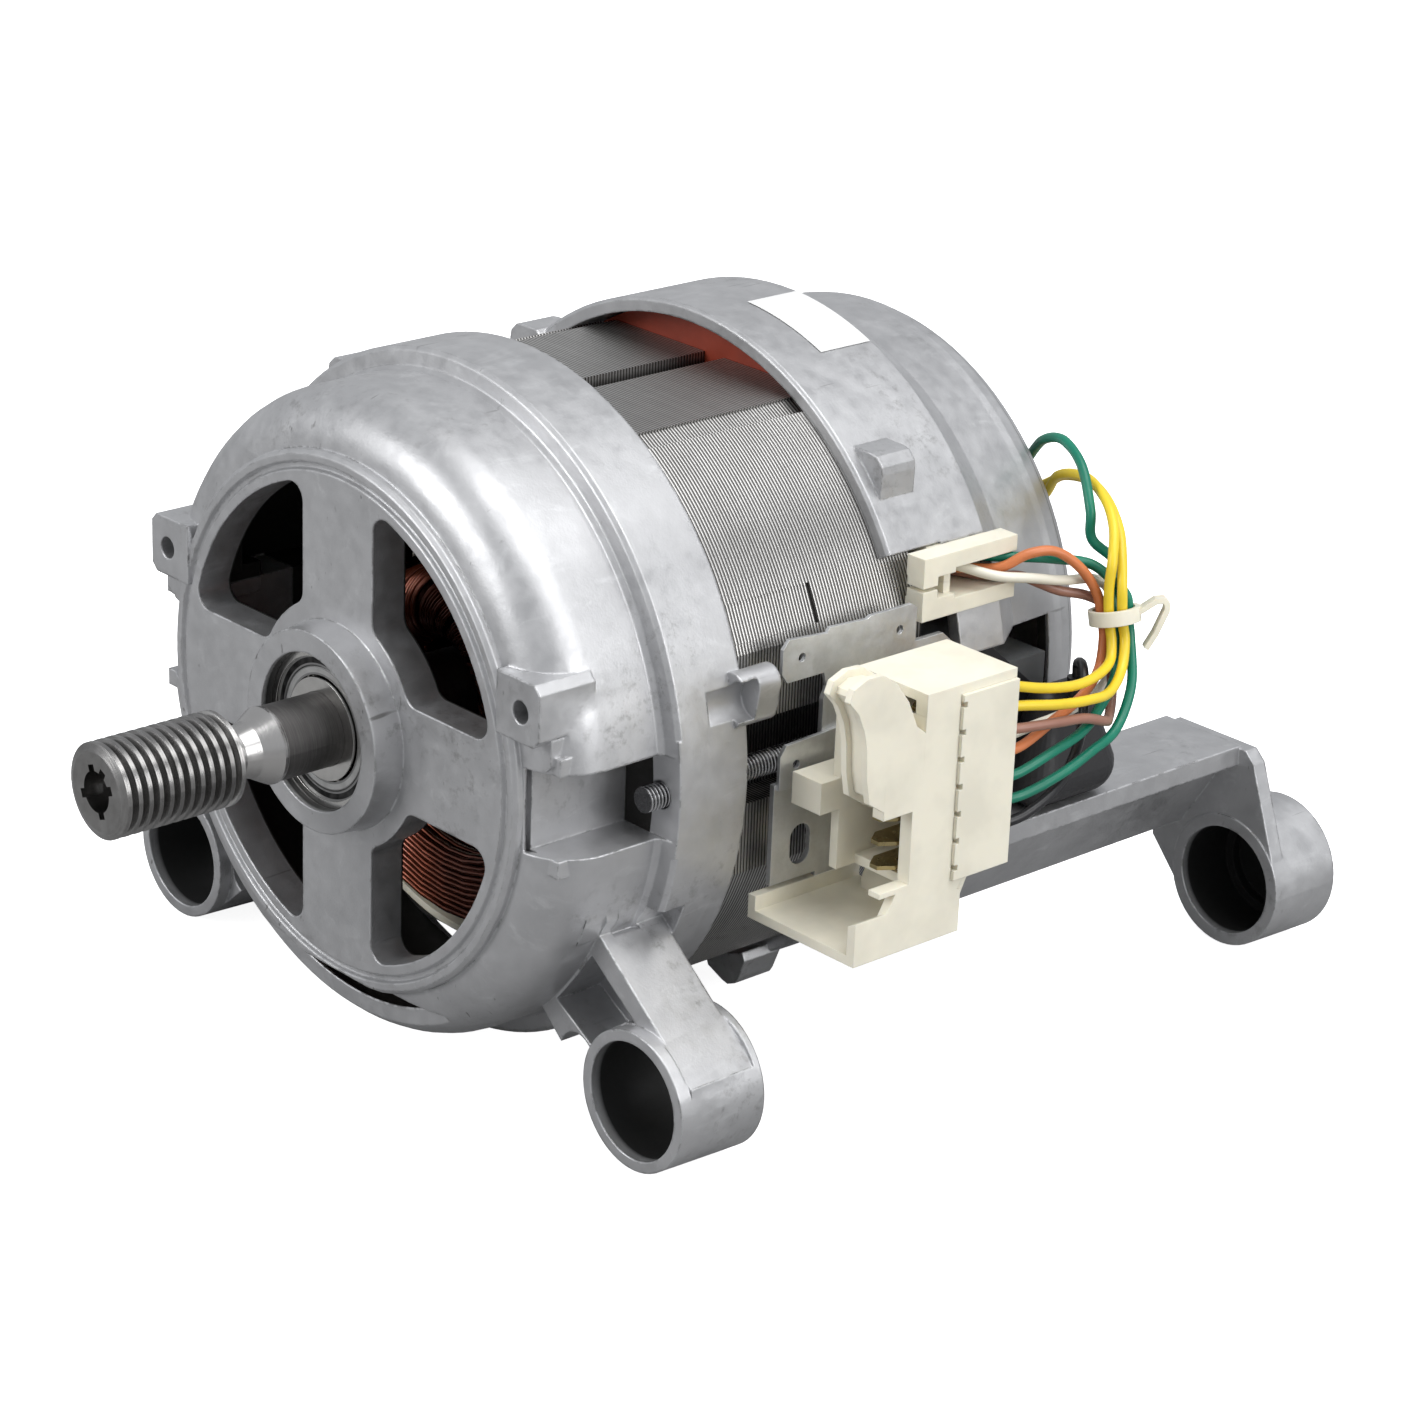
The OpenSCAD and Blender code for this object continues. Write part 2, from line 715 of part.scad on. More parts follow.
module bearing_inner(bore, y, w, pitch_r, ball_r)
    bearing_ring(pitch_r - ball_r * ring_lip, bore / 2 + seat_gap, y, w, pitch_r, ball_r);

module bearing_balls(count, y, w, pitch_r, ball_r) {
    cage_half = ball_r * 0.55;
    ring_y(pitch_r + 0.5, pitch_r - 0.5, y + w / 2 - cage_half, y + w / 2 + cage_half);
    for (i = [0:count - 1])
        along_y(y + w / 2) rotate(i * 360 / count) translate([pitch_r, 0, 0]) sphere(r = ball_r, $fn = 32);
}

module front_bearing_outer_ring() color(steel_color)
    bearing_outer(front_bearing_od, front_bearing_y, front_bearing_w, front_pitch_r, front_ball_r);

module front_bearing_inner_ring() color(steel_color)
    bearing_inner(shaft_d, front_bearing_y, front_bearing_w, front_pitch_r, front_ball_r);

module front_bearing_balls() color(steel_color)
    bearing_balls(front_balls, front_bearing_y, front_bearing_w, front_pitch_r, front_ball_r);

module front_bearing_shields() color(dark_steel_color) {
    shield_t = 0.4;
    inset = 0.7;
    outer_r = front_pitch_r + front_ball_r * ring_lip;
    inner_r = front_pitch_r - front_ball_r * ring_lip + 0.35;
    ring_y(outer_r, inner_r, front_bearing_y + inset, front_bearing_y + inset + shield_t);
    ring_y(outer_r, inner_r, front_bearing_back - inset - shield_t, front_bearing_back - inset);
}

module rear_bearing_outer_ring() color(steel_color)
    bearing_outer(rear_bearing_od, rear_bearing_y, rear_bearing_w, rear_pitch_r, rear_ball_r);

module rear_bearing_inner_ring() color(steel_color)
    bearing_inner(rear_seat_d, rear_bearing_y, rear_bearing_w, rear_pitch_r, rear_ball_r);

module rear_bearing_balls() color(steel_color)
    bearing_balls(rear_balls, rear_bearing_y, rear_bearing_w, rear_pitch_r, rear_ball_r);

// Preloads the rear bearing from behind
module wave_washer() color(dark_steel_color)
    ring_y(rear_bearing_od / 2 - 0.2, rear_bearing_od / 2 - 1.9,
        rear_bearing_back, rear_bearing_back + washer_t);

// Rotor: shaft with its belt ribs, laminations, winding, commutator and tacho magnet

core_y = stack_front + 1;
core_back = stack_back - 1;
commutator_seat_d = 16;
tail_d = 8;
tail_y = rear_bearing_back + 10;
slot_r = 3.6;
slot_center_r = rotor_d / 2 - 6.4;

// One belt rib: a flat crest between two halves of a groove
function rib_points(i) =
    let (
        y = pulley_front + i * rib_pitch,
        root = pulley_d / 2 - rib_depth,
        crest = pulley_d / 2
    )
    [[root, y], [crest, y + rib_pitch * 0.3], [crest, y + rib_pitch * 0.7], [root, y + rib_pitch]];

function cone_points() =
    let (root = neck_d / 2, cone = neck_len * 0.72, edge = shaft_d / 2 + 0.25)
    [
        [root, pulley_back + 0.2], [root, collar_y - cone],
        [root + (edge - root) * 0.3, collar_y - cone * 0.6],
        [edge, collar_y - 0.9], [edge, collar_y - 0.3]
    ];

module centre_recess() {
    along_y(pulley_front - through) cylinder(r = 4.1, h = 7 + through, $fn = 48);
    for (a = [20, 65, 110, 200, 290])
        plate_xz(pulley_front - through, pulley_front + 4) rotate(a)
            translate([3.4, -0.9]) square([1.9, 1.8]);
}

module rotor_shaft() color(dark_steel_color) difference() {
    turned(concat(
        [[0, pulley_front]],
        [for (i = [0:pulley_ribs - 1]) each rib_points(i)],
        cone_points(),
        [
            [shaft_d / 2, collar_y], [shaft_d / 2, front_bearing_back],
            [core_seat_d / 2, front_bearing_back], [core_seat_d / 2, commutator_y - 6],
            [commutator_seat_d / 2, commutator_y - 6], [commutator_seat_d / 2, commutator_back + 2],
            [rear_seat_d / 2 + 1.2, commutator_back + 2], [rear_seat_d / 2 + 1.2, rear_bearing_y],
            [rear_seat_d / 2, rear_bearing_y], [rear_seat_d / 2, rear_bearing_back],
            [tail_d / 2, rear_bearing_back], [tail_d / 2, tail_y], [0, tail_y]
        ]
    ));
    centre_recess();
}

module rotor_slot_outline(shrink = 0) {
    translate([slot_center_r, 0]) circle(r = slot_r - shrink, $fn = 32);
    if (shrink == 0) translate([slot_center_r, -1.1]) square([10, 2.2]);
}

module rotor_core() color(steel_color) plate_xz(core_y, core_back) difference() {
    circle(d = rotor_d, $fn = 120);
    circle(d = core_seat_d + 2 * seat_gap, $fn = 64);
    for (i = [0:rotor_slots - 1]) rotate(i * 360 / rotor_slots) rotor_slot_outline();
}

turn_wire_d = 1.6;
turn_minor_r = 7;
turn_major_r = 19;
turn_count = 24;
turn_rings = 8;
turn_laps = 5;
slot_end_y = core_y - 1.6;
turn_y = slot_end_y - turn_minor_r - turn_wire_d / 2 - seat_gap;
turn_core_r = turn_minor_r * cos(180 / turn_rings) - turn_wire_d / 2 - 0.3;

// Slot bundles, the rear overhang and the round bundle under the front end turns
module rotor_winding() color(copper_color) {
    overhang = 13;
    for (i = [0:rotor_slots - 1])
        plate_xz(slot_end_y, core_back + 3) rotate(i * 360 / rotor_slots) rotor_slot_outline(0.15);
    along_y(core_back + 0.3) rotate_extrude($fn = 72) polygon(concat(
        [[core_seat_d / 2 + 1, 0], [rotor_d / 2 - 2.5, 0]],
        arc([rotor_d / 2 - 8.5, overhang - 6], 6, 0, 90, 5),
        [[core_seat_d / 2 + 1, overhang - 3]]
    ));
    along_y(turn_y) rotate_extrude($fn = 72) translate([turn_major_r, 0])
        circle(r = turn_core_r, $fn = 32);
    along_y(slot_end_y) rotate_extrude($fn = 72) translate([core_seat_d / 2 + 1.2, 0]) square([13.8, 1.3]);
}

function turn_point(i) =
    let (
        minor = -360 * i / turn_rings,
        major = 360 * i * turn_laps / (turn_rings * turn_count)
    )
    polar(major, turn_major_r + turn_minor_r * cos(minor), turn_y + turn_minor_r * sin(minor));

// One wire curled round the front bundle, with both ends at the winding behind it
module rotor_end_turns() color(copper_color) {
    last = turn_count * turn_rings - turn_rings / 2;
    last_angle = 360 * last * turn_laps / (turn_rings * turn_count);
    points = concat(
        [polar(0, turn_major_r + turn_minor_r, slot_end_y - seat_gap)],
        [for (i = [0:last]) turn_point(i)],
        [polar(last_angle, turn_major_r - turn_minor_r, slot_end_y - seat_gap)]
    );
    echo(end_turn_gap = least_gap(points, turn_wire_d, 2));
    swept_tube(points, turn_wire_d / 2, coil_sides);
}

bar_depth = 2.4;

module commutator_hub() color(black_color) {
    hub_r = commutator_d / 2 - bar_depth - seat_gap;
    ring_y(hub_r, commutator_seat_d / 2 + seat_gap, commutator_y - 4, commutator_back + 1);
    ring_y(commutator_d / 2 - 1, commutator_seat_d / 2 + seat_gap, commutator_y - 4, commutator_y);
}

module commutator_bars() color(copper_color) difference() {
    union() {
        ring_y(commutator_d / 2, commutator_d / 2 - bar_depth, commutator_y, commutator_back);
        ring_y(commutator_d / 2 + 1.6, commutator_d / 2 - bar_depth, commutator_y, commutator_y + 2);
    }
    for (i = [0:bar_count - 1])
        plate_xz(commutator_y - through, commutator_back + through) rotate((i + 0.5) * 360 / bar_count)
            translate([commutator_d / 2 - bar_depth - 1, -0.3]) square([6, 0.6]);
}

// Tacho generator behind the rear bearing, under a cap with a flat outlet for its wires

cap_wall = 2;
cap_end = tail_y + 4;
cap_r = rear_hub_d / 2 + cap_wall;
outlet_r = 25;
outlet_angle = atan2(3, 4);

module tacho_magnet() color(black_color)
    ring_y(8, tail_d / 2 + seat_gap, rear_bearing_back + 1.5, tail_y - 0.5);

module tacho_coil() color(copper_color)
    ring_y(rear_bearing_od / 2, 9.5, rear_bearing_back + washer_t, cap_end - cap_wall);

module tacho_cap() color(black_color) {
    ring_y(cap_r, rear_hub_d / 2 + seat_gap, rear_hub_back - 4, cap_end - cap_wall);
    along_y(cap_end - cap_wall) cylinder(r = cap_r, h = cap_wall, $fn = 96);
    plate_xz(cap_end - 8.5, cap_end) rotate(outlet_angle)
        translate([rear_hub_d / 2 + 1, -5.5]) square([outlet_r - rear_hub_d / 2 - 1, 11]);
}

// Brush gear: the carbon brushes slide in closed holders, each pushed by a coil spring

holder_wall = 2;
holder_gap = 0.1;
spring_len = 14;
brush_in_x = commutator_d / 2 - 0.2;
brush_out_x = commutator_d / 2 + brush_len;
holder_end_x = brush_out_x + spring_len;
spring_wire_d = 0.9;
spring_r = 1.7;
spring_turns = 6;
holder_y0 = brush_y - brush_w / 2 - holder_gap - holder_wall;
holder_y1 = brush_y + brush_w / 2 + holder_gap + holder_wall;
holder_half_z = brush_t / 2 + holder_gap + holder_wall;
ear_plate_t = 2.5;
post_x = 36;
post_z = 8;
screw_r = 1.45;

module brush() difference() {
    block([brush_in_x - 0.5, brush_y - brush_w / 2, -brush_t / 2],
        [brush_out_x, brush_y + brush_w / 2, brush_t / 2]);
    along_y(brush_y - brush_w) cylinder(r = commutator_d / 2 + 0.06, h = 2 * brush_w, $fn = 96);
}

module right_brush() color(black_color) brush();

module left_brush() color(black_color) mirror([1, 0, 0]) brush();

// The wire's ends lie flat on the brush and on the holder's end wall
function spring_point(i) =
    let (
        turn = i / 8,
        x = brush_out_x + spring_wire_d / 2 + (spring_len - spring_wire_d) * turn / spring_turns
    )
    [x, brush_y + spring_r * cos(360 * turn), spring_r * sin(360 * turn)];

module brush_spring()
    swept_tube([for (i = [0:spring_turns * 8]) spring_point(i)], spring_wire_d / 2, coil_sides);

module right_brush_spring() color(steel_color) brush_spring();

module left_brush_spring() color(steel_color) mirror([1, 0, 0]) brush_spring();

module brush_holder() difference() {
    union() {
        block([commutator_d / 2 + 3, holder_y0, -holder_half_z],
            [holder_end_x + holder_wall, holder_y1, holder_half_z]);
        plate_xz(holder_y1 - ear_plate_t, holder_y1) hull() {
            for (z = [-post_z, post_z]) translate([post_x, z]) circle(r = 4, $fn = 32);
        }
    }
    block([0, brush_y - brush_w / 2 - holder_gap, -brush_t / 2 - holder_gap],
        [holder_end_x, brush_y + brush_w / 2 + holder_gap, brush_t / 2 + holder_gap]);
    for (z = [-post_z, post_z])
        rod_y(screw_r + seat_gap, holder_y1 - ear_plate_t - through, holder_y1 + through, post_x, z);
}

module right_brush_holder() color([0.3, 0.3, 0.3]) brush_holder();

module left_brush_holder() color([0.3, 0.3, 0.3]) mirror([1, 0, 0]) brush_holder();

module brush_holder_screws() color(steel_color) both_sides() for (z = [-post_z, post_z]) {
    rod_y(screw_r, holder_y1 - ear_plate_t, holder_y1 + 7, post_x, z);
    rod_y(2.8, holder_y1 - ear_plate_t - 1.8, holder_y1 - ear_plate_t, post_x, z);
}

// Terminal carrier and earth tabs: bent sheet beside the stator, held under the right bolt's head

tab_t = 0.8;
back_x = carrier_x + sheet_t;

module carrier_outline() difference() {
    union() {
        polygon([[50, -25], [81, -25], [81, 7.5], [clamp_y + sheet_t, 7.5], [clamp_y + sheet_t, 11.4],
            [87, 11.4], [86, 15], [82, 18.5], [53, 18.5], [50, 12]]);
        translate([38, -24]) square([20, 21]);
    }
    for (z = [-18.5, -17, -15.5]) translate([45.5, z]) circle(r = 2.7, $fn = 32);
}

module terminal_carrier() color([0.6, 0.61, 0.63]) {
    plate_yz(carrier_x, back_x) carrier_outline();
    difference() {
        block([bolt_x - 4.5, clamp_y, -6], [back_x, clamp_y + sheet_t, 11.4]);
        rod_y(bolt_d / 2 + seat_gap, clamp_y - 1, clamp_y + 3, bolt_x);
    }
}

module earth_tab_strip() color(steel_color) difference() {
    plate_yz(back_x, back_x + tab_t) {
        polygon([[38, 20], [39.5, 18], [49, 18], [50, 15], [60.5, 13], [60.5, 17.5], [72.5, 17.5],
            [73.5, 19], [73.5, 26], [72, 27], [61, 27], [60, 26.5], [50, 27], [49.5, 26],
            [39.5, 26.8], [38, 25]]);
        polygon([[38.5, -4], [50, -4.5], [56, -5], [56, 6], [50, 5.5], [40, 5], [38.5, 3]]);
    }
    for (p = [[43, 22.5], [69, 22.3], [42.8, 0.6]]) rod_x(0.9, carrier_x, carrier_x + 5, p[0], p[1]);
}

// Connector: a housing with a hooked guide and a tray below, its cover, and brass blades

housing_x = back_x + 8.8;
housing_front = 50;
housing_back = housing_front + housing_len;
housing_top = 21.7;
housing_bottom = housing_top - housing_h;
outer_x = housing_x + housing_w;
tray_x = back_x - 1.7;
tray_z = -30;
tray_front = 34;
guide_front = 40;
guide_bottom = -1;
contact_pitch = 5;
contact_x = outer_x - 7;
first_contact_z = housing_bottom + 4.1;
cover_len = 15;
cover_inset = 0.6;
cover_front = housing_back - cover_len;

function contact_z(i) = first_contact_z + i * contact_pitch;

module housing_guide() plate_yz(outer_x - 12, outer_x) difference() {
    polygon([[29, 27], [38, 31], [44, 29], [48, 22], [52, 12], [53, 4], [50, 0],
        [guide_front + 2, guide_bottom], [guide_front + 2, 8], [37, 16], [31, 24]]);
    translate([32, 4]) circle(r = 14, $fn = 48);
}

module housing_tray() {
    plate_xz(tray_front, 62)
        polygon([[tray_x, tray_z], [outer_x, tray_z], [outer_x, tray_z + 9],
            [outer_x - moulded_wall, tray_z + 8], [outer_x - moulded_wall, tray_z + moulded_wall],
            [tray_x + 2, tray_z + moulded_wall], [tray_x + 2, tray_z + 5], [tray_x, tray_z + 5]]);
    plate_yz(outer_x - moulded_wall, outer_x)
        polygon([[tray_front, tray_z], [54, tray_z], [63, housing_bottom], [cover_front, housing_bottom],
            [cover_front, housing_bottom + 4], [46, housing_bottom + 4], [40, tray_z + 5],
            [tray_front, tray_z + 4]]);
    plate_yz(housing_x - 4, outer_x - moulded_wall)
        polygon([[58, tray_z], [62, tray_z + moulded_wall], [66, housing_bottom - 1],
            [66, housing_bottom + 1], [62, housing_bottom + 1], [58, tray_z + moulded_wall + 2]]);
}

// Feet that stand on the terminal carrier
module housing_feet() {
    block([back_x, 58, -16], [housing_x + 0.5, housing_back - 2, -10]);
    block([back_x, 62, 6], [housing_x + 0.5, housing_back - 2, 12]);
    block([back_x + 2.8, guide_front, -6], [housing_x + 2, housing_front + 2, 0.5]);
}

module connector_housing() color(cream_color) {
    difference() {
        block([housing_x, housing_front, housing_bottom], [outer_x, housing_back, housing_top]);
        block([housing_x + moulded_wall, housing_front - through, housing_bottom + moulded_wall],
            [outer_x - moulded_wall - 1, housing_back - 6, housing_top - moulded_wall]);
        for (i = [0:contact_count - 1])
            block([contact_x - 2, housing_back - 7, contact_z(i) - 1.7],
                [contact_x + 2, housing_back + through, contact_z(i) + 1.7]);
        block([outer_x - moulded_wall + cover_inset, cover_front, housing_bottom - through],
            [outer_x + through, housing_back + through, housing_top - 2]);
    }
    block([outer_x - moulded_wall - 1, guide_front, housing_bottom + 1], [outer_x, housing_front + 0.5, 6]);
    block([housing_x, 45, housing_bottom], [housing_x + moulded_wall, housing_front + 0.5, 16]);
    housing_guide();
    housing_tray();
    housing_feet();
}

module connector_cover() color(cream_color) difference() {
    block([outer_x - moulded_wall + cover_inset, cover_front + seat_gap, housing_bottom],
        [outer_x + 0.8, housing_back, housing_top - 2 - seat_gap]);
    for (i = [0:6])
        block([outer_x - 3, cover_front - through, housing_bottom + 2 + i * 5.6],
            [outer_x + 2, cover_front + 1, housing_bottom + 3.2 + i * 5.6]);
}

// The blades below the hook reach out to the housing's lip, the others end inside
function blade_tip(i) = contact_z(i) < guide_bottom ? housing_front - 5 : housing_front + 4;

module blade_outline(tip) {
    shoulder = housing_back - 6;
    polygon([[-1.9, wire_end_y], [-1.9, shoulder], [-3, shoulder - 0.8], [-3, tip + 3], [-1, tip], [1, tip],
        [3, tip + 3], [3, shoulder - 0.8], [1.9, shoulder], [1.9, wire_end_y]]);
}

module connector_contacts() color([0.75, 0.6, 0.3]) for (i = [0:contact_count - 1])
    translate([contact_x, 0, contact_z(i) - 0.4]) linear_extrude(0.8) blade_outline(blade_tip(i));

// Grommet: two C-shaped halves in the drum's side window

grommet_mid_z = (window_low + window_high) / 2;

grommet_x = sqrt(pow(flange_d / 2, 2) - pow(window_high, 2));

module grommet_half() {
    y0 = window_front + seat_gap;
    y1 = window_back - seat_gap;
    top = window_high - seat_gap;
    mid = grommet_mid_z;
    difference() {
        union() {
            block([grommet_x - 6, y0, mid], [grommet_x + 5.1, y1, top]);
            block([grommet_x + 1.7, y0 - 7, top - 3.5], [grommet_x + 6.5, y1 + 3, top + 0.8]);
            block([grommet_x + 2, y0 - 7, mid + 0.4], [grommet_x + 6.5, y0 - 3, top]);
        }
        block([grommet_x - 12, y0 + 1.8, mid - 1], [grommet_x + 9, y1 - 1.8, mid + 3.2]);
        block([grommet_x - 0.5, y1 - 3, mid - 1], [grommet_x + 9, y1 + 4, mid + 3.2]);
    }
}

module upper_wire_grommet() color(cream_color) grommet_half();

module lower_wire_grommet() color(cream_color) difference() {
    translate([0, 0, 2 * grommet_mid_z]) mirror([0, 0, 1]) grommet_half();
    difference() {
        ring_y(flange_d / 2 + seat_gap, flange_d / 2 - 8, stack_back + 6 - seat_gap, window_back + 6);
        block([50, window_front, window_low], [flange_d, window_back, window_high]);
    }
}

// Wires: each route runs from its inner end through the tie to the back of the connector

wire_end_y = housing_back - 1;
inside_y = stack_back + insulation_t;
wire_sides = 8;

function plug_end(i) = [[contact_x, wire_end_y + 4, contact_z(i)], [contact_x, wire_end_y, contact_z(i)]];

module wire(route, i) swept_tube(concat(route, plug_end(i)), wire_d / 2, wire_sides);

module green_wires() color([0.02, 0.5, 0.36]) {
    wire([
        [18.2, 143.5, 17.4], [22.6, 143.5, 20.7], [30, 143, 28.6], [38, 138.5, 37], [45.7, 133.6, 42.5],
        [54, 130, 45], [62.5, 126.5, 42.5], [68.8, 123, 35.6], [70.2, 122.6, 29.8], [75.2, 124.6, 25.9],
        [78.2, 121.2, 21.4], [79.8, 120.1, 17], [81.1, 120, 12.5], [83.4, 117.6, 5.5], [86.7, 110.3, 1.9],
        [90.4, 101, -0.3], [91.8, 91, -1.8], [91.5, 82, -4]
    ], 2);
    wire([
        [50, inside_y, 29.8], [50, 88, 29.8], [54.5, 92.2, 29.8], [60.2, 95, 29.8], [65.8, 99.2, 29.8],
        [69.2, 105, 29.4], [71, 111, 28.3], [74.6, 117.6, 26.9], [79.2, 119.9, 24], [81.2, 122, 20.8],
        [81.8, 122, 17],
        [82.9, 122, 12.5], [87, 118.7, 4.3], [89.7, 112, -2.5], [91.5, 103, -4.6], [92, 94, -7],
        [91.5, 84, -9]
    ], 1);
}

module yellow_wires() color([0.93, 0.8, 0.1]) {
    wire([
        [21.8, 143.5, 12.6], [26.2, 143.5, 15.9], [34, 142.5, 21.5], [42, 139, 28.7], [50, 133.8, 35.8],
        [61, 129.8, 39], [70, 126, 37.4], [76, 122.3, 33.9], [79.6, 118.6, 29], [80.2, 117.5, 23.5],
        [80.8, 117.5, 17], [81.9, 117.5, 12.5], [84, 115, 9.3], [87, 108, 8.9], [90, 99, 10], [91, 90, 11.8],
        [91, 82, 14]
    ], 6);
    wire([
        [20, 143.5, 15], [24.4, 143.5, 18.3], [31.6, 144, 24.6], [40, 142.2, 30], [48.6, 137.3, 34.6],
        [59.3, 132.6, 37.3], [68.5, 128.4, 36.4], [75.3, 124.8, 32.8], [79.6, 121.4, 28.6], [82, 119.4, 23.5],
        [82.6, 119.5, 17], [83.7, 119.5, 12.5], [86.4, 116, 8], [89.8, 109, 6], [92.2, 100.5, 7.2],
        [92.8, 91.5, 8.6], [91.5, 83, 10]
    ], 5);
}

module orange_wire() color([0.85, 0.42, 0.2]) wire([
    [54, inside_y, 27.5], [54, 88, 27.5], [58.2, 91, 27.5], [63.4, 94.6, 27.6], [68.2, 98.4, 28.4],
    [71.2, 103.2, 31.1], [73.4, 108.6, 31], [75.6, 113.8, 27], [77.2, 117.3, 21.5], [78.2, 118, 17],
    [79.3, 118, 12.5], [81, 115.4, 7], [84, 109, 5], [87, 102, 4.4], [88.8, 94, 3.2], [90.3, 84, 1]
], 3);

module brown_wire() color([0.55, 0.33, 0.26]) wire([
    [50, inside_y, 26.9], [50, 88, 26.9], [54.5, 92.4, 26.2], [60.6, 95.4, 25.8], [66.4, 99.4, 25.9],
    [69, 103.6, 25.6], [70.2, 107.6, 23.7], [72, 111.8, 21.7], [74.3, 117, 20.3], [76.6, 120.1, 18.4],
    [77.5, 120.5, 16], [78.5, 120.5, 12.5],
    [80.6, 119.6, 6], [83.5, 117, 1.2], [86.8, 112.8, -1.4], [90.3, 107.7, 0.4], [92.6, 99, 3.8],
    [93, 91, 5], [91.8, 83, 5.5]
], 4);

module white_wire() color([0.92, 0.9, 0.84]) swept_tube([
    [54, inside_y, 29.8], [54, 86.8, 29.8], [58.5, 88.4, 29.6], [64.5, 90.6, 29.2], [70, 95.4, 27.7],
    [72.3, 103, 26.3], [73, 111.5, 24.2], [74, 118.4, 23.4], [75.2, 121.6, 21.9], [77.5, 122.7, 18.6],
    [78.8, 122.4, 16], [80.3, 122.5, 12.5], [79.3, 122.5, 6], [78.5, 117.5, 0], [78.6, 108, -2],
    [79.5, 97, -2], [81, 85, -2], [82, 79, -2], [82, housing_back, -2]
], wire_d / 2, wire_sides);

module black_wire() color(black_color) wire([
    [73, 118, 2], [73, 118, 5], [77.5, 114.5, 6.3], [81.5, 111, 2], [84.5, 107.5, -3.5], [88, 101.5, -7.5],
    [91, 93.5, -10.6], [91.5, 84, -13.6]
], 0);

// Cable tie round the bundle, with its tail bent back
module cable_tie() color(cream_color) translate([80, 120, 17]) rotate([0, -14, 0]) {
    difference() {
        cylinder(r = 5.3, h = 3, center = true, $fn = 64);
        cylinder(r = 4.3, h = 6, center = true, $fn = 64);
    }
    rotate(48) {
        translate([-2.5, 4.6, -2.6]) cube([5, 3.6, 5.2]);
        translate([0, 2.2, 0]) rotate([90, 0, 0]) linear_extrude(4.4)
            polygon([[4.4, 0.6], [8.4, 2.6], [10.4, 2.5], [11.2, 1.4], [10.9, -0.4], [8.1, -4.8], [5.8, -7.6],
                [5, -7], [7.2, -4.2], [9.9, 0.2], [10, 0.9], [9.8, 1.4], [8.7, 1.5], [4.4, -0.5]]);
    }
}

// Black boot over the lower leads, flat against the insulating sheet

boot_x = max(holder_end_x + holder_wall, drum_d / 2 + 0.5) + 0.6;

module lead_boot() color(black_color) {
    difference() {
        hull() {
            for (y = [111, 125]) translate([boot_x + 5.9, y, arm_top + 6.5]) sphere(r = 6.5, $fn = 32);
            for (y = [113, 121]) translate([boot_x + 5.4, y, -4]) sphere(r = 4, $fn = 32);
        }
        block([60, 90, -40], [boot_x, 140, 10]);
    }
    translate([73, 118, -6]) cylinder(r = 2, h = 8, $fn = 32);
}

module insulating_sheet() color(black_color) plate_yz(boot_x - 0.6, boot_x)
    polygon([[96, arm_top], [96, 10], [98.5, 11.9], [100, 11], [117, -3.5], [126, -9], [126, arm_top]]);

front_bracket();
rear_bracket();
stator_core();
front_pole_insulation();
rear_pole_insulation();
upper_field_coil();
lower_field_coil();
through_bolts();
front_bearing_outer_ring();
front_bearing_shields();
front_bearing_inner_ring();
front_bearing_balls();
rear_bearing_outer_ring();
rear_bearing_inner_ring();
rear_bearing_balls();
wave_washer();
rotor_shaft();
rotor_core();
rotor_winding();
rotor_end_turns();
commutator_hub();
commutator_bars();
tacho_magnet();
tacho_coil();
tacho_cap();
right_brush();
left_brush();
right_brush_spring();
left_brush_spring();
right_brush_holder();
left_brush_holder();
brush_holder_screws();
terminal_carrier();
earth_tab_strip();
connector_housing();
connector_cover();
connector_contacts();
upper_wire_grommet();
lower_wire_grommet();
green_wires();
yellow_wires();
orange_wire();
brown_wire();
white_wire();
black_wire();
cable_tie();
lead_boot();
insulating_sheet();
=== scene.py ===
# Washing machine motor: finishes, windings, wires, label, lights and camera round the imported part.
import json
import math
import random

import bmesh
import bpy
from mathutils import Matrix, Vector


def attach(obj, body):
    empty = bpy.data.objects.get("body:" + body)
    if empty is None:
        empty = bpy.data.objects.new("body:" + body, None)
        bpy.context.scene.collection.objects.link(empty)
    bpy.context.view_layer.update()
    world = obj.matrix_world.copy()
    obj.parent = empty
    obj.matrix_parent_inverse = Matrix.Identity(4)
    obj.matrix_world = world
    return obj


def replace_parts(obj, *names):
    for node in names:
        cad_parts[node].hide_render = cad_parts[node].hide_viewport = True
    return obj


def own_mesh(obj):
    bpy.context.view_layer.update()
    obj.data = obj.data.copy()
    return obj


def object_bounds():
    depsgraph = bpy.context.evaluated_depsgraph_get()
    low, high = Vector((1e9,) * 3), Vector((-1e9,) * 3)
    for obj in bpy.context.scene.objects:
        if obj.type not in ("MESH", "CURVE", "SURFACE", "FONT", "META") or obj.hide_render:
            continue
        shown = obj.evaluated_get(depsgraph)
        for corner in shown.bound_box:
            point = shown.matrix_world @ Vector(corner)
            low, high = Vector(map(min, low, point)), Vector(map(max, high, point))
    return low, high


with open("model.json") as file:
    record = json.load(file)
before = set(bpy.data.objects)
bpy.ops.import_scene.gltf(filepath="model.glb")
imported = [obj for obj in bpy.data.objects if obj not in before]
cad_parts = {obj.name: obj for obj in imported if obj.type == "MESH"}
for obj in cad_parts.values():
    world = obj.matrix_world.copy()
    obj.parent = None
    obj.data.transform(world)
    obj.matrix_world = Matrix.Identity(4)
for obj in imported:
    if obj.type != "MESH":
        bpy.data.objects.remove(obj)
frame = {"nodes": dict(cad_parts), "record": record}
cad_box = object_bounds()
nodes = frame["nodes"]
scene = bpy.context.scene
MM = 0.001


def mm(*point):
    return Vector(point) * MM


# Camera: fitted to the photograph's straight edges and circles

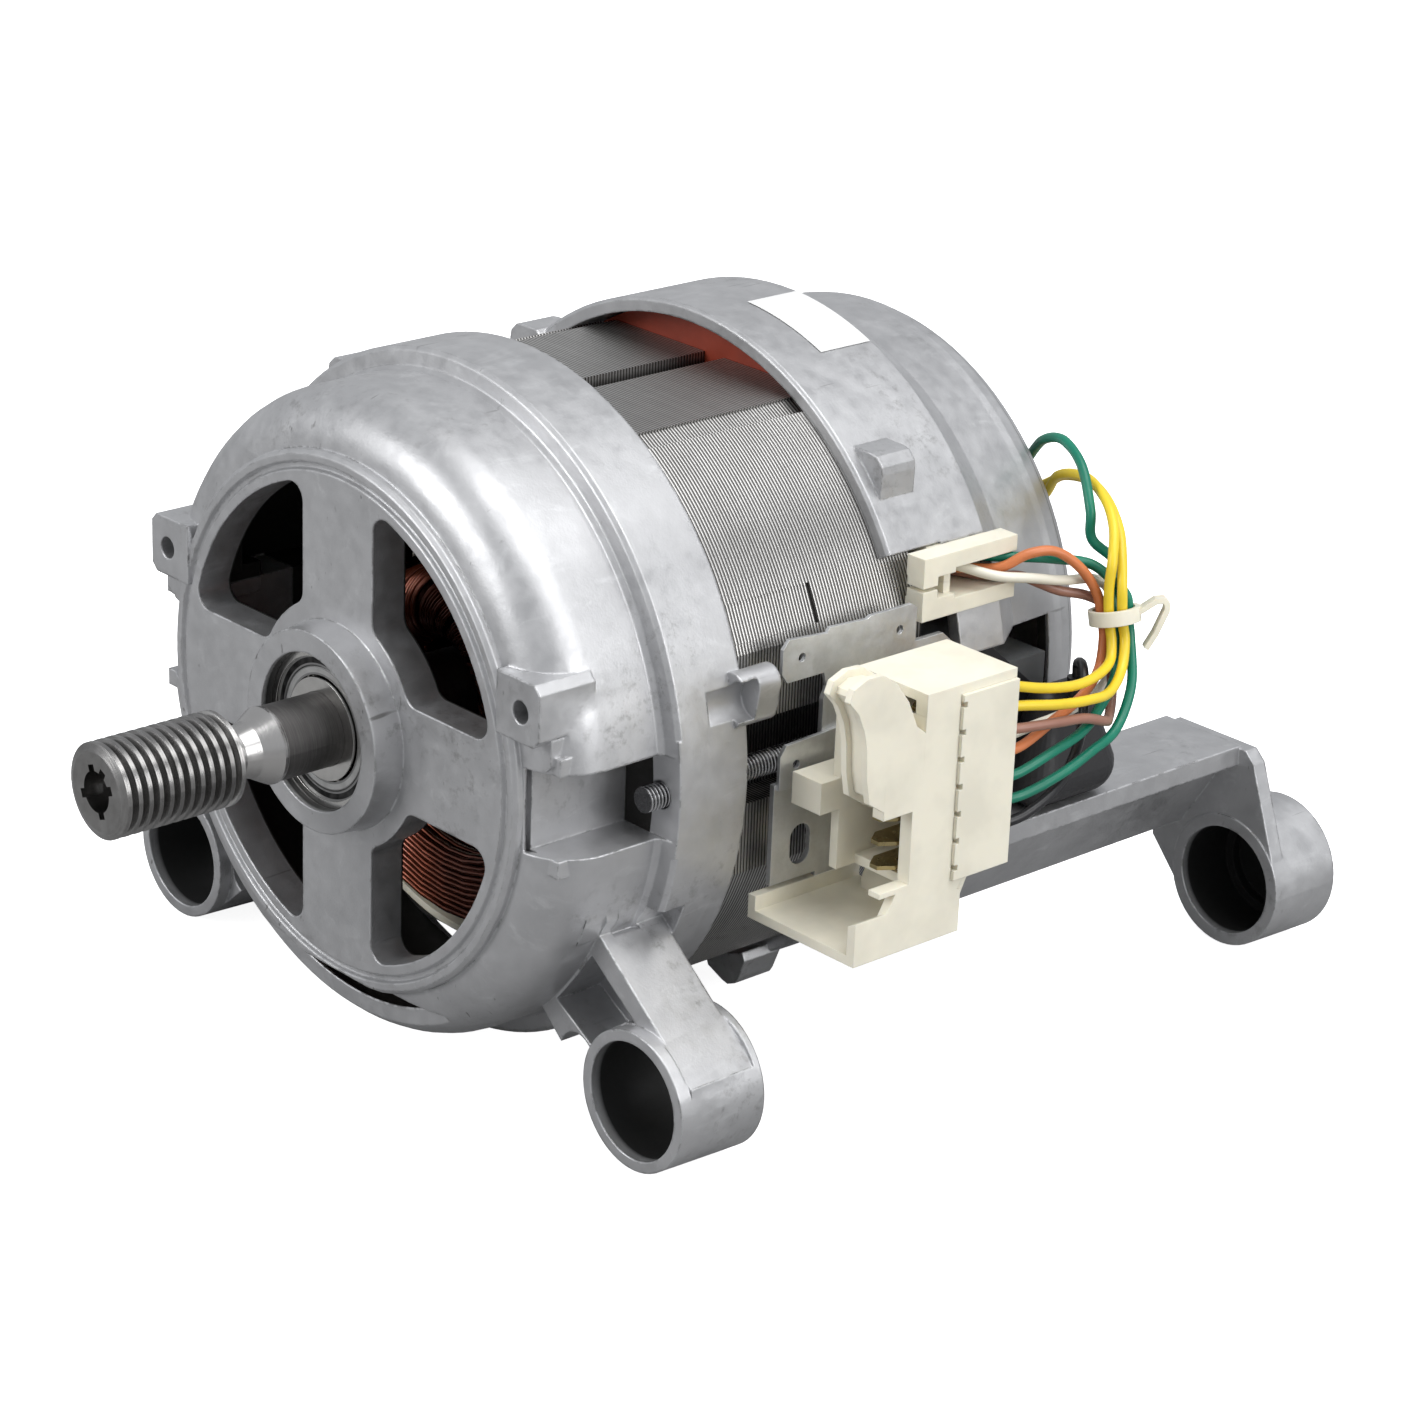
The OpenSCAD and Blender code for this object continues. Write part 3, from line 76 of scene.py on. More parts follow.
PHOTO_SIZE = 1404
FOCAL_PX = 4067.5
SENSOR = 36.0
CAMERA_PLACE = mm(587.41, -460.11, 298.05)
CAMERA_RIGHT = Vector((0.66754, 0.74373, 0.03546))
CAMERA_UP = Vector((-0.29597, 0.22135, 0.92920))


def make_camera():
    data = bpy.data.cameras.new("camera")
    data.sensor_fit = "HORIZONTAL"
    data.sensor_width = SENSOR
    data.lens = SENSOR * FOCAL_PX / PHOTO_SIZE
    data.clip_start = 0.01
    camera = bpy.data.objects.new("camera", data)
    scene.collection.objects.link(camera)
    right = CAMERA_RIGHT.normalized()
    back = right.cross(CAMERA_UP).normalized()
    up = back.cross(right)
    turn = Matrix((right, up, back)).transposed().to_4x4()
    camera.matrix_world = Matrix.Translation(CAMERA_PLACE) @ turn
    scene.camera = camera


# Light: a pale world and three large soft lamps, above, in front on the left and on the right

WORLD_COLOR = (0.95, 0.97, 1.0, 1)
WORLD_LIGHT = 0.52
PURE_WHITE = (1, 1, 1, 1)
SEEN_AS_WHITE = ["Is Camera Ray", "Is Transmission Ray"]

# Each lamp: name, place, the point it faces, side in metres, watts
LAMPS = [
    ("top_lamp", (0.45, 0.25, 1.4), (0, 0.05, 0), 1.2, 16.0),
    ("front_lamp", (-0.5, -1.4, 0.7), (0, 0.03, 0), 0.8, 13.5),
    ("side_lamp", (1.5, 0.4, 0.6), (0.05, 0.08, 0), 0.9, 11.5),
]
FLOOR_HALF = 4.0
FLOOR_COLOR = (0.86, 0.86, 0.86, 1)
FLOOR_GLOW = 0.9
BOUNCE_COLOR = (0.3, 0.3, 0.3, 1)


def light_path_mix(tree, output, plain, seen, rays):
    """Shows the second shader to the named kinds of ray, and the first to all others."""
    path = tree.nodes.new("ShaderNodeLightPath")
    last = plain
    for ray in rays:
        mix = tree.nodes.new("ShaderNodeMixShader")
        tree.links.new(path.outputs[ray], mix.inputs[0])
        tree.links.new(last, mix.inputs[1])
        tree.links.new(seen, mix.inputs[2])
        last = mix.outputs[0]
    tree.links.new(last, output)


def make_world():
    world = bpy.data.worlds.new("studio")
    scene.world = world
    world.use_nodes = True
    tree = world.node_tree
    tree.nodes.clear()
    output = tree.nodes.new("ShaderNodeOutputWorld")
    plain = tree.nodes.new("ShaderNodeBackground")
    plain.inputs["Color"].default_value = WORLD_COLOR
    plain.inputs["Strength"].default_value = WORLD_LIGHT
    white = tree.nodes.new("ShaderNodeBackground")
    white.inputs["Color"].default_value = PURE_WHITE
    light_path_mix(tree, output.inputs[0], plain.outputs[0], white.outputs[0], SEEN_AS_WHITE)


def make_lamps():
    for name, place, aim, size, power in LAMPS:
        data = bpy.data.lights.new(name, "AREA")
        data.shape = "SQUARE"
        data.size = size
        data.energy = power
        lamp = bpy.data.objects.new(name, data)
        lamp.location = place
        lamp.rotation_euler = (Vector(place) - Vector(aim)).to_track_quat("Z", "Y").to_euler()
        scene.collection.objects.link(lamp)


def make_floor():
    """Seen, it glows white; for the object's own light it is a grey surface."""
    z = cad_box[0][2]
    mesh = bpy.data.meshes.new("floor")
    h = FLOOR_HALF
    mesh.from_pydata([(-h, -h, z), (h, -h, z), (h, h, z), (-h, h, z)], [], [(0, 1, 2, 3)])
    floor = bpy.data.objects.new("floor", mesh)
    scene.collection.objects.link(floor)
    material = bpy.data.materials.new("floor_white")
    material.use_nodes = True
    tree = material.node_tree
    tree.nodes.clear()
    output = tree.nodes.new("ShaderNodeOutputMaterial")
    diffuse = tree.nodes.new("ShaderNodeBsdfDiffuse")
    diffuse.inputs["Color"].default_value = FLOOR_COLOR
    bounce = tree.nodes.new("ShaderNodeBsdfDiffuse")
    bounce.inputs["Color"].default_value = BOUNCE_COLOR
    glow = tree.nodes.new("ShaderNodeEmission")
    glow.inputs["Color"].default_value = PURE_WHITE
    glow.inputs["Strength"].default_value = FLOOR_GLOW
    both = tree.nodes.new("ShaderNodeAddShader")
    tree.links.new(diffuse.outputs[0], both.inputs[0])
    tree.links.new(glow.outputs[0], both.inputs[1])
    light_path_mix(tree, output.inputs[0], bounce.outputs[0], both.outputs[0], SEEN_AS_WHITE)
    mesh.materials.append(material)


# Materials: each is a small tree of nodes on object coordinates, which are the part's own frame

class Finish:
    """One procedural material, built step by step."""

    def __init__(self, name, color, roughness, metallic=0.0, **more):
        self.material = bpy.data.materials.new(name)
        self.material.use_nodes = True
        self.tree = self.material.node_tree
        self.shader = self.tree.nodes["Principled BSDF"]
        self.shader.inputs["Base Color"].default_value = (*color, 1)
        self.shader.inputs["Roughness"].default_value = roughness
        self.shader.inputs["Metallic"].default_value = metallic
        for socket, value in more.items():
            self.shader.inputs[socket.replace("_", " ")].default_value = value
        self.place = self.add("ShaderNodeTexCoord").outputs["Object"]
        self.color = None
        self.normal = None

    def add(self, kind, inputs=(), **settings):
        node = self.tree.nodes.new(kind)
        for key, value in settings.items():
            setattr(node, key, value)
        for socket, value in dict(inputs).items():
            target = node.inputs[socket]
            if isinstance(value, bpy.types.NodeSocket):
                self.tree.links.new(value, target)
            else:
                target.default_value = value
        return node

    def stretched(self, scale):
        inputs = {0: self.place, 1: scale}
        return self.add("ShaderNodeVectorMath", inputs, operation="MULTIPLY").outputs[0]

    def noise(self, size_mm, detail=3.0, rough=0.55, scale=(1, 1, 1), distortion=0.0):
        place = self.place if scale == (1, 1, 1) else self.stretched(scale)
        inputs = {"Vector": place, "Scale": 1 / (size_mm * MM), "Detail": detail,
            "Roughness": rough, "Distortion": distortion}
        return self.add("ShaderNodeTexNoise", inputs).outputs["Fac"]

    def grooves(self, pitch_mm):
        """Waves along the shaft's direction, such as sheets or a thread.

        The texture repeats after pi / 10 at a scale of 1.
        """
        inputs = {"Vector": self.place, "Scale": math.pi / 10 / (pitch_mm * MM)}
        settings = {"wave_type": "BANDS", "bands_direction": "Y", "wave_profile": "SIN"}
        return self.add("ShaderNodeTexWave", inputs, **settings).outputs["Fac"]

    def ramp(self, value, low, high, from_value=0.0, to_value=1.0):
        inputs = {"Value": value, "From Min": low, "From Max": high, "To Min": from_value,
            "To Max": to_value}
        return self.add("ShaderNodeMapRange", inputs).outputs[0]

    def maths(self, operation, a, b=0.0):
        return self.add("ShaderNodeMath", {0: a, 1: b}, operation=operation).outputs[0]

    def both(self, a, b):
        return self.maths("MULTIPLY", a, b)

    def edges(self, radius_mm, low=0.02, high=0.25):
        """Near 1 along sharp edges, 0 on flat faces."""
        bevel = self.add("ShaderNodeBevel", {"Radius": radius_mm * MM}, samples=4).outputs[0]
        plain = self.add("ShaderNodeNewGeometry").outputs["Normal"]
        dot = self.add("ShaderNodeVectorMath", {0: bevel, 1: plain}, operation="DOT_PRODUCT")
        return self.ramp(self.maths("SUBTRACT", 1.0, dot.outputs["Value"]), low, high)

    def along(self, axis):
        return self.add("ShaderNodeSeparateXYZ", {0: self.place}).outputs[axis]

    def distance(self, x_mm=0.0, z_mm=0.0):
        """Distance from an axis along the shaft's direction, and from its mirror image."""
        x = self.maths("SUBTRACT", self.beside("X"), x_mm * MM)
        z = self.maths("SUBTRACT", self.along("Z"), z_mm * MM)
        return self.maths("SQRT", self.maths("ADD", self.both(x, x), self.both(z, z)))

    def beside(self, axis):
        """How far a point lies to either side along an axis."""
        return self.maths("ABSOLUTE", self.along(axis))

    def below(self, value, limit_mm, soft_mm):
        """1 up to a length, 0 past it."""
        return self.ramp(value, limit_mm * MM, (limit_mm + soft_mm) * MM, 1.0, 0.0)

    def above(self, value, limit_mm, soft_mm):
        """0 up to a length, 1 past it."""
        return self.ramp(value, limit_mm * MM, (limit_mm + soft_mm) * MM)

    def band(self, value, low_mm, high_mm, soft_mm=0.05):
        """1 between two lengths, 0 outside them."""
        rise = self.above(value, low_mm - soft_mm, soft_mm)
        return self.both(rise, self.below(value, high_mm, soft_mm))

    def tint(self, factor, color, strength=1.0):
        """Paints a colour over what is there, as far as factor says."""
        base = self.color or tuple(self.shader.inputs["Base Color"].default_value)
        amount = factor if strength == 1.0 else self.both(factor, strength)
        self.color = self.mix_color(amount, base, (*color, 1))

    def mix_color(self, amount, a, b):
        """The mix node's colour sockets are its inputs 6 and 7 and its output 2."""
        return self.add("ShaderNodeMix", {0: amount, 6: a, 7: b}, data_type="RGBA").outputs[2]

    def rough(self, value, low, high):
        self.drive("Roughness", self.ramp(value, 0.3, 0.7, low, high))

    def drive(self, socket, value):
        self.tree.links.new(value, self.shader.inputs[socket])

    def round_edges(self, radius_mm):
        self.normal = self.add("ShaderNodeBevel", {"Radius": radius_mm * MM}, samples=6).outputs[0]

    def bump(self, height, depth_mm, strength=1.0):
        inputs = {"Height": height, "Distance": depth_mm * MM, "Strength": strength}
        if self.normal:
            inputs["Normal"] = self.normal
        self.normal = self.add("ShaderNodeBump", inputs).outputs[0]

    def done(self):
        if self.color:
            self.drive("Base Color", self.color)
        if self.normal:
            self.drive("Normal", self.normal)
        return self.material


# Where the castings get painted shade: in the shell but for its side pockets, in the tubes, in the
# hub
FRONT_WALL_BACK = -6.6
REAR_WALL_FRONT = 127
SHELL_INNER_R = 62.3
POCKET_X = 49
POCKET_BACK = 12.5
POCKET_HALF_Z = 12
TUBE_X = 73.7
TUBE_Z = -56.8
TUBE_BORE_R = 12.12
FRONT_TUBE_Y = (2.5, 30)
REAR_TUBE_Y = (171.5, 200)
HUB_OPENING_R = 16.1
HUB_OPENING_Y = (-19.6, -10)
CAST_METALLIC = 0.78


def cast_aluminium():
    f = Finish("cast_aluminium", (0.54, 0.542, 0.552), 0.4, CAST_METALLIC)
    skin = f.noise(9, 5, 0.6)
    f.tint(f.ramp(skin, 0.35, 0.7), (0.43, 0.432, 0.442), 0.6)
    streaks = f.noise(5, 4, 0.65, scale=(1, 0.35, 1), distortion=0.6)
    f.tint(f.ramp(streaks, 0.58, 0.72), (0.68, 0.685, 0.695), 0.4)
    stains = f.both(f.ramp(f.noise(2.6, 6, 0.72), 0.52, 0.7), f.ramp(f.noise(30, 2), 0.5, 0.66))
    f.tint(stains, (0.2, 0.195, 0.19), 0.6)
    lines = f.ramp(f.noise(1.4, 2, 0.5, scale=(1, 0.05, 0.5)), 0.7, 0.76)
    scratches = f.both(lines, f.ramp(f.noise(14, 2), 0.5, 0.58))
    f.tint(scratches, (0.1, 0.095, 0.09), 0.65)
    f.tint(f.edges(0.7), (0.74, 0.745, 0.76), 0.6)
    burrs = f.both(f.edges(1.1, 0.08, 0.3), f.ramp(f.noise(5.5, 4, 0.7), 0.5, 0.58))
    f.tint(burrs, (0.07, 0.066, 0.062), 0.75)
    # Painted shade: the shell's inside, but for its side pockets, is painted near black.
    shell = f.both(f.below(f.distance(), SHELL_INNER_R, 0.1),
        f.band(f.along("Y"), FRONT_WALL_BACK, REAR_WALL_FRONT, 0.3))
    beside = f.both(f.above(f.beside("X"), POCKET_X, 1), f.below(f.along("Y"), POCKET_BACK, 0.5))
    pocket = f.both(beside, f.below(f.beside("Z"), POCKET_HALF_Z, 0.5))
    inside = f.both(shell, f.maths("SUBTRACT", 1.0, pocket))
    f.tint(inside, (0.022, 0.021, 0.02))
    # Painted shade: the bores of the mounting tubes are painted near black.
    along_tubes = f.maths("MAXIMUM", f.band(f.along("Y"), *FRONT_TUBE_Y, 2.0),
        f.band(f.along("Y"), *REAR_TUBE_Y, 1.8))
    bore = f.both(f.below(f.distance(TUBE_X, TUBE_Z), TUBE_BORE_R, 0.05), along_tubes)
    f.tint(bore, (0.02, 0.02, 0.02))
    # Painted shade: the hub's opening is painted dark.
    hub = f.both(f.below(f.distance(), HUB_OPENING_R, 0.1),
        f.band(f.along("Y"), *HUB_OPENING_Y, 0.6))
    f.tint(hub, (0.06, 0.06, 0.06))
    # Where shade is painted, the metal is also made non-metallic and barely glossy, so no reflection
    # lightens it.
    painted_shade_area = f.maths("MAXIMUM", inside, bore)
    f.rough(f.noise(3.5, 4), 0.34, 0.52)
    f.drive("Metallic", f.ramp(painted_shade_area, 0.0, 1.0, CAST_METALLIC, 0.0))
    f.drive("Specular IOR Level", f.ramp(painted_shade_area, 0.0, 1.0, 0.5, 0.1))
    f.round_edges(0.6)
    f.bump(f.noise(0.55, 3, 0.6), 0.05, 0.5)
    f.bump(f.noise(4.5, 3, 0.5), 0.12, 0.35)
    return f.done()


SHEET_PITCH = 0.78
STACK_INNER_R = 56


def laminated_steel():
    f = Finish("laminated_steel", (0.5, 0.495, 0.485), 0.36, 0.8)
    f.tint(f.ramp(f.noise(9, 4), 0.4, 0.7), (0.4, 0.395, 0.385), 0.5)
    sheets = f.noise(1.1, 1, 0.5, scale=(0.02, 1, 0.02))
    f.tint(f.ramp(sheets, 0.35, 0.65), (0.62, 0.615, 0.6), 0.35)
    lines = f.grooves(SHEET_PITCH)
    f.tint(f.ramp(lines, 0.25, 0.7, 1.0, 0.0), (0.05, 0.046, 0.042), 0.9)
    # Painted shade: the stack's inside, within its inner radius, is painted near black.
    f.tint(f.below(f.distance(), STACK_INNER_R, 1.5), (0.03, 0.028, 0.026), 0.8)
    f.bump(lines, 0.12, 0.6)
    return f.done()


# The shaft's bright neck, and the darker seat behind it
NECK_FRONT = -44
SEAT_FRONT = -31.3


def turned_steel():
    f = Finish("turned_steel", (0.3, 0.295, 0.29), 0.3, 1.0)
    lines = f.noise(0.22, 2, 0.6, scale=(0.04, 1, 0.04))
    f.tint(f.ramp(f.noise(2.5, 3), 0.4, 0.7), (0.2, 0.195, 0.19), 0.5)
    f.tint(f.ramp(lines, 0.5, 0.75), (0.44, 0.435, 0.43), 0.45)
    f.tint(f.band(f.along("Y"), NECK_FRONT, SEAT_FRONT, 0.2), (0.6, 0.59, 0.58), 0.75)
    seat = f.above(f.along("Y"), SEAT_FRONT, 0.2)
    f.tint(seat, (0.13, 0.125, 0.123))
    f.tint(f.both(seat, f.ramp(lines, 0.4, 0.7)), (0.2, 0.195, 0.19), 0.6)
    f.drive("Roughness", f.ramp(seat, 0.0, 1.0, 0.27, 0.5))
    f.bump(lines, 0.03, 0.6)
    return f.done()


BOLT_X = 64.5
BOLT_SHANK_R = 2.7
THREAD_PITCH = 0.85


def plated_steel(name, color, rough, threaded=False):
    f = Finish(name, color, 0.28, 1.0)
    f.tint(f.ramp(f.noise(3, 3), 0.4, 0.7), tuple(c * 0.75 for c in color), 0.5)
    f.rough(f.noise(1.2, 3), *rough)
    f.round_edges(0.15)
    f.bump(f.noise(0.4, 2), 0.02, 0.4)
    if threaded:
        thread = f.grooves(THREAD_PITCH)
        shank = f.below(f.distance(BOLT_X, 0), BOLT_SHANK_R, 0.1)
        # Painted shade: the grooves of the bolt's thread are painted dark.
        f.tint(f.both(shank, f.ramp(thread, 0.1, 0.5, 1.0, 0.0)), (0.05, 0.05, 0.05), 0.85)
        f.bump(f.both(thread, shank), 0.5, 0.9)
    return f.done()


# The shield's rings, as inner and outer radius
SHIELD_INNER_GAP = (8.0, 9.6)
SHIELD_CROWN = (10.6, 12.4)
SHIELD_RIDGE = (11.2, 12.2)
SHIELD_OUTER_GAP = (13.1, 14.2)


def bearing_shield():
    """Pressed shield with painted shade in the gaps at its rims, and a lighter raised ring."""
    f = Finish("bearing_shield", (0.34, 0.34, 0.34), 0.32, 1.0)
    r = f.distance()
    f.tint(f.band(r, *SHIELD_RIDGE), (0.7, 0.7, 0.69), 0.8)
    # Painted shade: the gaps at the shield's outer and inner rims are painted near black.
    f.tint(f.band(r, *SHIELD_OUTER_GAP), (0.015, 0.015, 0.015))
    f.tint(f.band(r, *SHIELD_INNER_GAP), (0.02, 0.02, 0.02))
    f.tint(f.ramp(f.noise(2.5, 3), 0.4, 0.7), (0.22, 0.22, 0.22), 0.3)
    f.bump(f.band(r, *SHIELD_CROWN, 0.3), 0.4, 0.8)
    return f.done()


def sheet_zinc():
    f = Finish("sheet_zinc", (0.66, 0.67, 0.68), 0.36, 0.85)
    f.tint(f.ramp(f.noise(4, 5, 0.7), 0.4, 0.7), (0.5, 0.505, 0.51), 0.6)
    f.tint(f.edges(0.25), (0.75, 0.76, 0.77), 0.6)
    f.rough(f.noise(2.2, 4), 0.3, 0.5)
    f.round_edges(0.15)
    f.bump(f.noise(0.8, 3), 0.04, 0.4)
    return f.done()


def copper(name, color):
    f = Finish(name, color, 0.3, 0.85, Coat_Weight=0.6, Coat_Roughness=0.18)
    f.tint(f.ramp(f.noise(2.5, 3), 0.35, 0.7), tuple(c * 0.5 for c in color), 0.6)
    f.bump(f.noise(0.7, 2), 0.03, 0.3)
    return f.done()


def plastic(name, color, roughness, shade=0.86, edge_mm=0.25, **more):
    f = Finish(name, color, roughness, 0.0, **more)
    f.tint(f.ramp(f.noise(11, 3), 0.4, 0.65), tuple(c * shade for c in color), 0.7)
    f.rough(f.noise(2.0, 3), roughness - 0.06, roughness + 0.08)
    f.round_edges(edge_mm)
    f.bump(f.noise(0.5, 3), 0.015, 0.5)
    return f.done()


def paper():
    f = Finish("blank_label", (0.8, 0.8, 0.79), 0.32, 0.0, Coat_Weight=0.35, Coat_Roughness=0.2)
    f.tint(f.ramp(f.noise(6, 3), 0.4, 0.7), (0.74, 0.74, 0.73), 0.6)
    f.bump(f.noise(1.5, 2), 0.01, 0.4)
    return f.done()


CREAM_DEPTH = {
    "Subsurface_Weight": 0.15,
    "Subsurface_Radius": (0.004, 0.003, 0.002),
    "Subsurface_Scale": 0.5,
}
FINISHES = {
    "cast_aluminium": cast_aluminium(),
    "laminations": laminated_steel(),
    "zinc_plated": plated_steel("plated_steel", (0.6, 0.6, 0.61), (0.2, 0.34), threaded=True),
    "bearing_steel": plated_steel("bearing_steel", (0.66, 0.65, 0.63), (0.12, 0.22)),
    "shield": bearing_shield(),
    "machined_steel": turned_steel(),
    # The windings' copper: dark enamelled wire, painted darker still as shade for the motor's
    # inside.
    "copper": copper("copper", (0.2, 0.045, 0.018)),
    "commutator_copper": copper("commutator_copper", (0.62, 0.3, 0.16)),
    "brown_moulding": plastic("brown_moulding", (0.05, 0.024, 0.017), 0.5),
    "red_insulation": plastic("red_insulation", (0.3, 0.04, 0.016), 0.5, shade=0.6),
    "cream_plastic": plastic("cream_plastic", (0.83, 0.79, 0.66), 0.42, **CREAM_DEPTH),
    "black_plastic": plastic("black_plastic", (0.018, 0.018, 0.02), 0.45),
    "grey_plastic": plastic("grey_plastic", (0.12, 0.125, 0.13), 0.5),
    "dark_magnet": plastic("dark_magnet", (0.05, 0.05, 0.052), 0.4),
    "carbon": plastic("carbon", (0.03, 0.03, 0.031), 0.6),
    "sheet_metal": sheet_zinc(),
    "tinned_brass": plated_steel("tinned_brass", (0.42, 0.34, 0.17), (0.25, 0.4)),
    "green_wire": plastic("green_wire", (0.0, 0.19, 0.115), 0.36, shade=0.75, edge_mm=0.1),
    "yellow_wire": plastic("yellow_wire", (0.84, 0.62, 0.03), 0.36, shade=0.85, edge_mm=0.1),
    "orange_wire": plastic("orange_wire", (0.64, 0.2, 0.07), 0.36, shade=0.8, edge_mm=0.1),
    "brown_wire": plastic("brown_wire", (0.33, 0.16, 0.115), 0.36, shade=0.8, edge_mm=0.1),
    "white_wire": plastic("white_wire", (0.8, 0.77, 0.66), 0.36, shade=0.9, edge_mm=0.1),
    "black_wire": plastic("black_wire", (0.012, 0.012, 0.014), 0.36, shade=0.8, edge_mm=0.1),
}
SLOTS = {part["node"]: part["material_slot"] for part in frame["record"]["subparts"]}


def dress_nodes():
    for node, slot in SLOTS.items():
        mesh = nodes[node].data
        mesh.materials.clear()
        mesh.materials.append(FINISHES[slot])


# Pieces of the scene itself

def add_piece(name, data, slot, body="housing"):
    """Puts a piece on its body; slot is one of the record's, or a material of the piece's own."""
    piece = bpy.data.objects.new(name, data)
    scene.collection.objects.link(piece)
    data.materials.append(FINISHES[slot] if slot in FINISHES else slot)
    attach(piece, body)
    return piece


def smooth_path(points, steps=8):
    """A Catmull-Rom curve through the points, in metres."""
    pts = [Vector(p) * MM for p in points]
    pts = [2 * pts[0] - pts[1]] + pts + [2 * pts[-1] - pts[-2]]
    path = []
    for a, b, c, d in zip(pts, pts[1:], pts[2:], pts[3:]):
        for i in range(steps):
            t = i / steps
            path.append(0.5 * (2 * b + (c - a) * t + (2 * a - 5 * b + 4 * c - d) * t ** 2
                + (3 * b - a - 3 * c + d) * t ** 3))
    return path + [pts[-2]]


def round_tubes(name, paths, radius_mm, slot, node, body="housing", cyclic=False, sides=3):
    """One piece of round tubes along paths, in place of a CAD node."""
    curve = bpy.data.curves.new(name, "CURVE")
    curve.dimensions = "3D"
    curve.bevel_depth = radius_mm * MM
    curve.bevel_resolution = sides
    curve.use_fill_caps = True
    for path in paths:
        spline = curve.splines.new("POLY")
        spline.points.add(len(path) - 1)
        spline.points.foreach_set("co", [c for p in path for c in (*p, 1)])
        spline.use_cyclic_u = cyclic
        spline.use_smooth = True
    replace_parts(add_piece(name, curve, slot, body), node)


# Wires: the same routes as the part's own, through the tie to the back of the connector

WIRE_R = 1.05
PLUG_X = 90
WIRE_END_Y = 73
HOUSING_BACK_Y = 74
INSIDE_Y = 83.6
FIRST_SLOT_Z = -14.4
SLOT_PITCH = 5


def plug_end(i):
    """The straight end in the connector's slot number i, counted from the bottom."""
    z = FIRST_SLOT_Z + i * SLOT_PITCH
    return [(PLUG_X, WIRE_END_Y + 4, z), (PLUG_X, WIRE_END_Y, z)]


GREEN_BRIGHT = [
    (18.2, 143.5, 17.4), (22.6, 143.5, 20.7), (30, 143, 28.6), (38, 138.5, 37),
    (45.7, 133.6, 42.5), (54, 130, 45), (62.5, 126.5, 42.5), (68.8, 123, 35.6),
    (70.2, 122.6, 29.8), (75.2, 124.6, 25.9), (78.2, 121.2, 21.4), (79.8, 120.1, 17),
    (81.1, 120, 12.5), (83.4, 117.6, 5.5), (86.7, 110.3, 1.9), (90.4, 101, -0.3),
    (91.8, 91, -1.8), (91.5, 82, -4),
]
GREEN_DARK = [
    (50, INSIDE_Y, 29.8), (50, 88, 29.8), (54.5, 92.2, 29.8), (60.2, 95, 29.8),
    (65.8, 99.2, 29.8), (69.2, 105, 29.4), (71, 111, 28.3), (74.6, 117.6, 26.9),
    (79.2, 119.9, 24), (81.2, 122, 20.8), (81.8, 122, 17), (82.9, 122, 12.5), (87, 118.7, 4.3),
    (89.7, 112, -2.5), (91.5, 103, -4.6), (92, 94, -7), (91.5, 84, -9),
]
YELLOW_UPPER = [
    (21.8, 143.5, 12.6), (26.2, 143.5, 15.9), (34, 142.5, 21.5), (42, 139, 28.7),
    (50, 133.8, 35.8), (61, 129.8, 39), (70, 126, 37.4), (76, 122.3, 33.9), (79.6, 118.6, 29),
    (80.2, 117.5, 23.5), (80.8, 117.5, 17), (81.9, 117.5, 12.5), (84, 115, 9.3), (87, 108, 8.9),
    (90, 99, 10), (91, 90, 11.8), (91, 82, 14),
]
YELLOW_LOWER = [
    (20, 143.5, 15), (24.4, 143.5, 18.3), (31.6, 144, 24.6), (40, 142.2, 30),
    (48.6, 137.3, 34.6), (59.3, 132.6, 37.3), (68.5, 128.4, 36.4), (75.3, 124.8, 32.8),
    (79.6, 121.4, 28.6), (82, 119.4, 23.5), (82.6, 119.5, 17), (83.7, 119.5, 12.5),
    (86.4, 116, 8), (89.8, 109, 6), (92.2, 100.5, 7.2), (92.8, 91.5, 8.6), (91.5, 83, 10),
]
ORANGE = [
    (54, INSIDE_Y, 27.5), (54, 88, 27.5), (58.2, 91, 27.5), (63.4, 94.6, 27.6),
    (68.2, 98.4, 28.4), (71.2, 103.2, 31.1), (73.4, 108.6, 31), (75.6, 113.8, 27),
    (77.2, 117.3, 21.5), (78.2, 118, 17), (79.3, 118, 12.5), (81, 115.4, 7), (84, 109, 5),
    (87, 102, 4.4), (88.8, 94, 3.2), (90.3, 84, 1),
]
BROWN = [
    (50, INSIDE_Y, 26.9), (50, 88, 26.9), (54.5, 92.4, 26.2), (60.6, 95.4, 25.8),
    (66.4, 99.4, 25.9), (69, 103.6, 25.6), (70.2, 107.6, 23.7), (72, 111.8, 21.7),
    (74.3, 117, 20.3), (76.6, 120.1, 18.4), (77.5, 120.5, 16), (78.5, 120.5, 12.5),
    (80.6, 119.6, 6), (83.5, 117, 1.2), (86.8, 112.8, -1.4), (90.3, 107.7, 0.4),
    (92.6, 99, 3.8), (93, 91, 5), (91.8, 83, 5.5),
]
WHITE = [
    (54, INSIDE_Y, 29.8), (54, 86.8, 29.8), (58.5, 88.4, 29.6), (64.5, 90.6, 29.2),
    (70, 95.4, 27.7), (72.3, 103, 26.3), (73, 111.5, 24.2), (74, 118.4, 23.4),
    (75.2, 121.6, 21.9), (77.5, 122.7, 18.6), (78.8, 122.4, 16), (80.3, 122.5, 12.5),
    (79.3, 122.5, 6), (78.5, 117.5, 0), (78.6, 108, -2), (79.5, 97, -2), (81, 85, -2),
    (82, 79, -2), (82, HOUSING_BACK_Y, -2),
]
BLACK = [
    (73, 118, 2), (73, 118, 5), (77.5, 114.5, 6.3), (81.5, 111, 2), (84.5, 107.5, -3.5),
    (88, 101.5, -7.5), (91, 93.5, -10.6), (91.5, 84, -13.6),
]


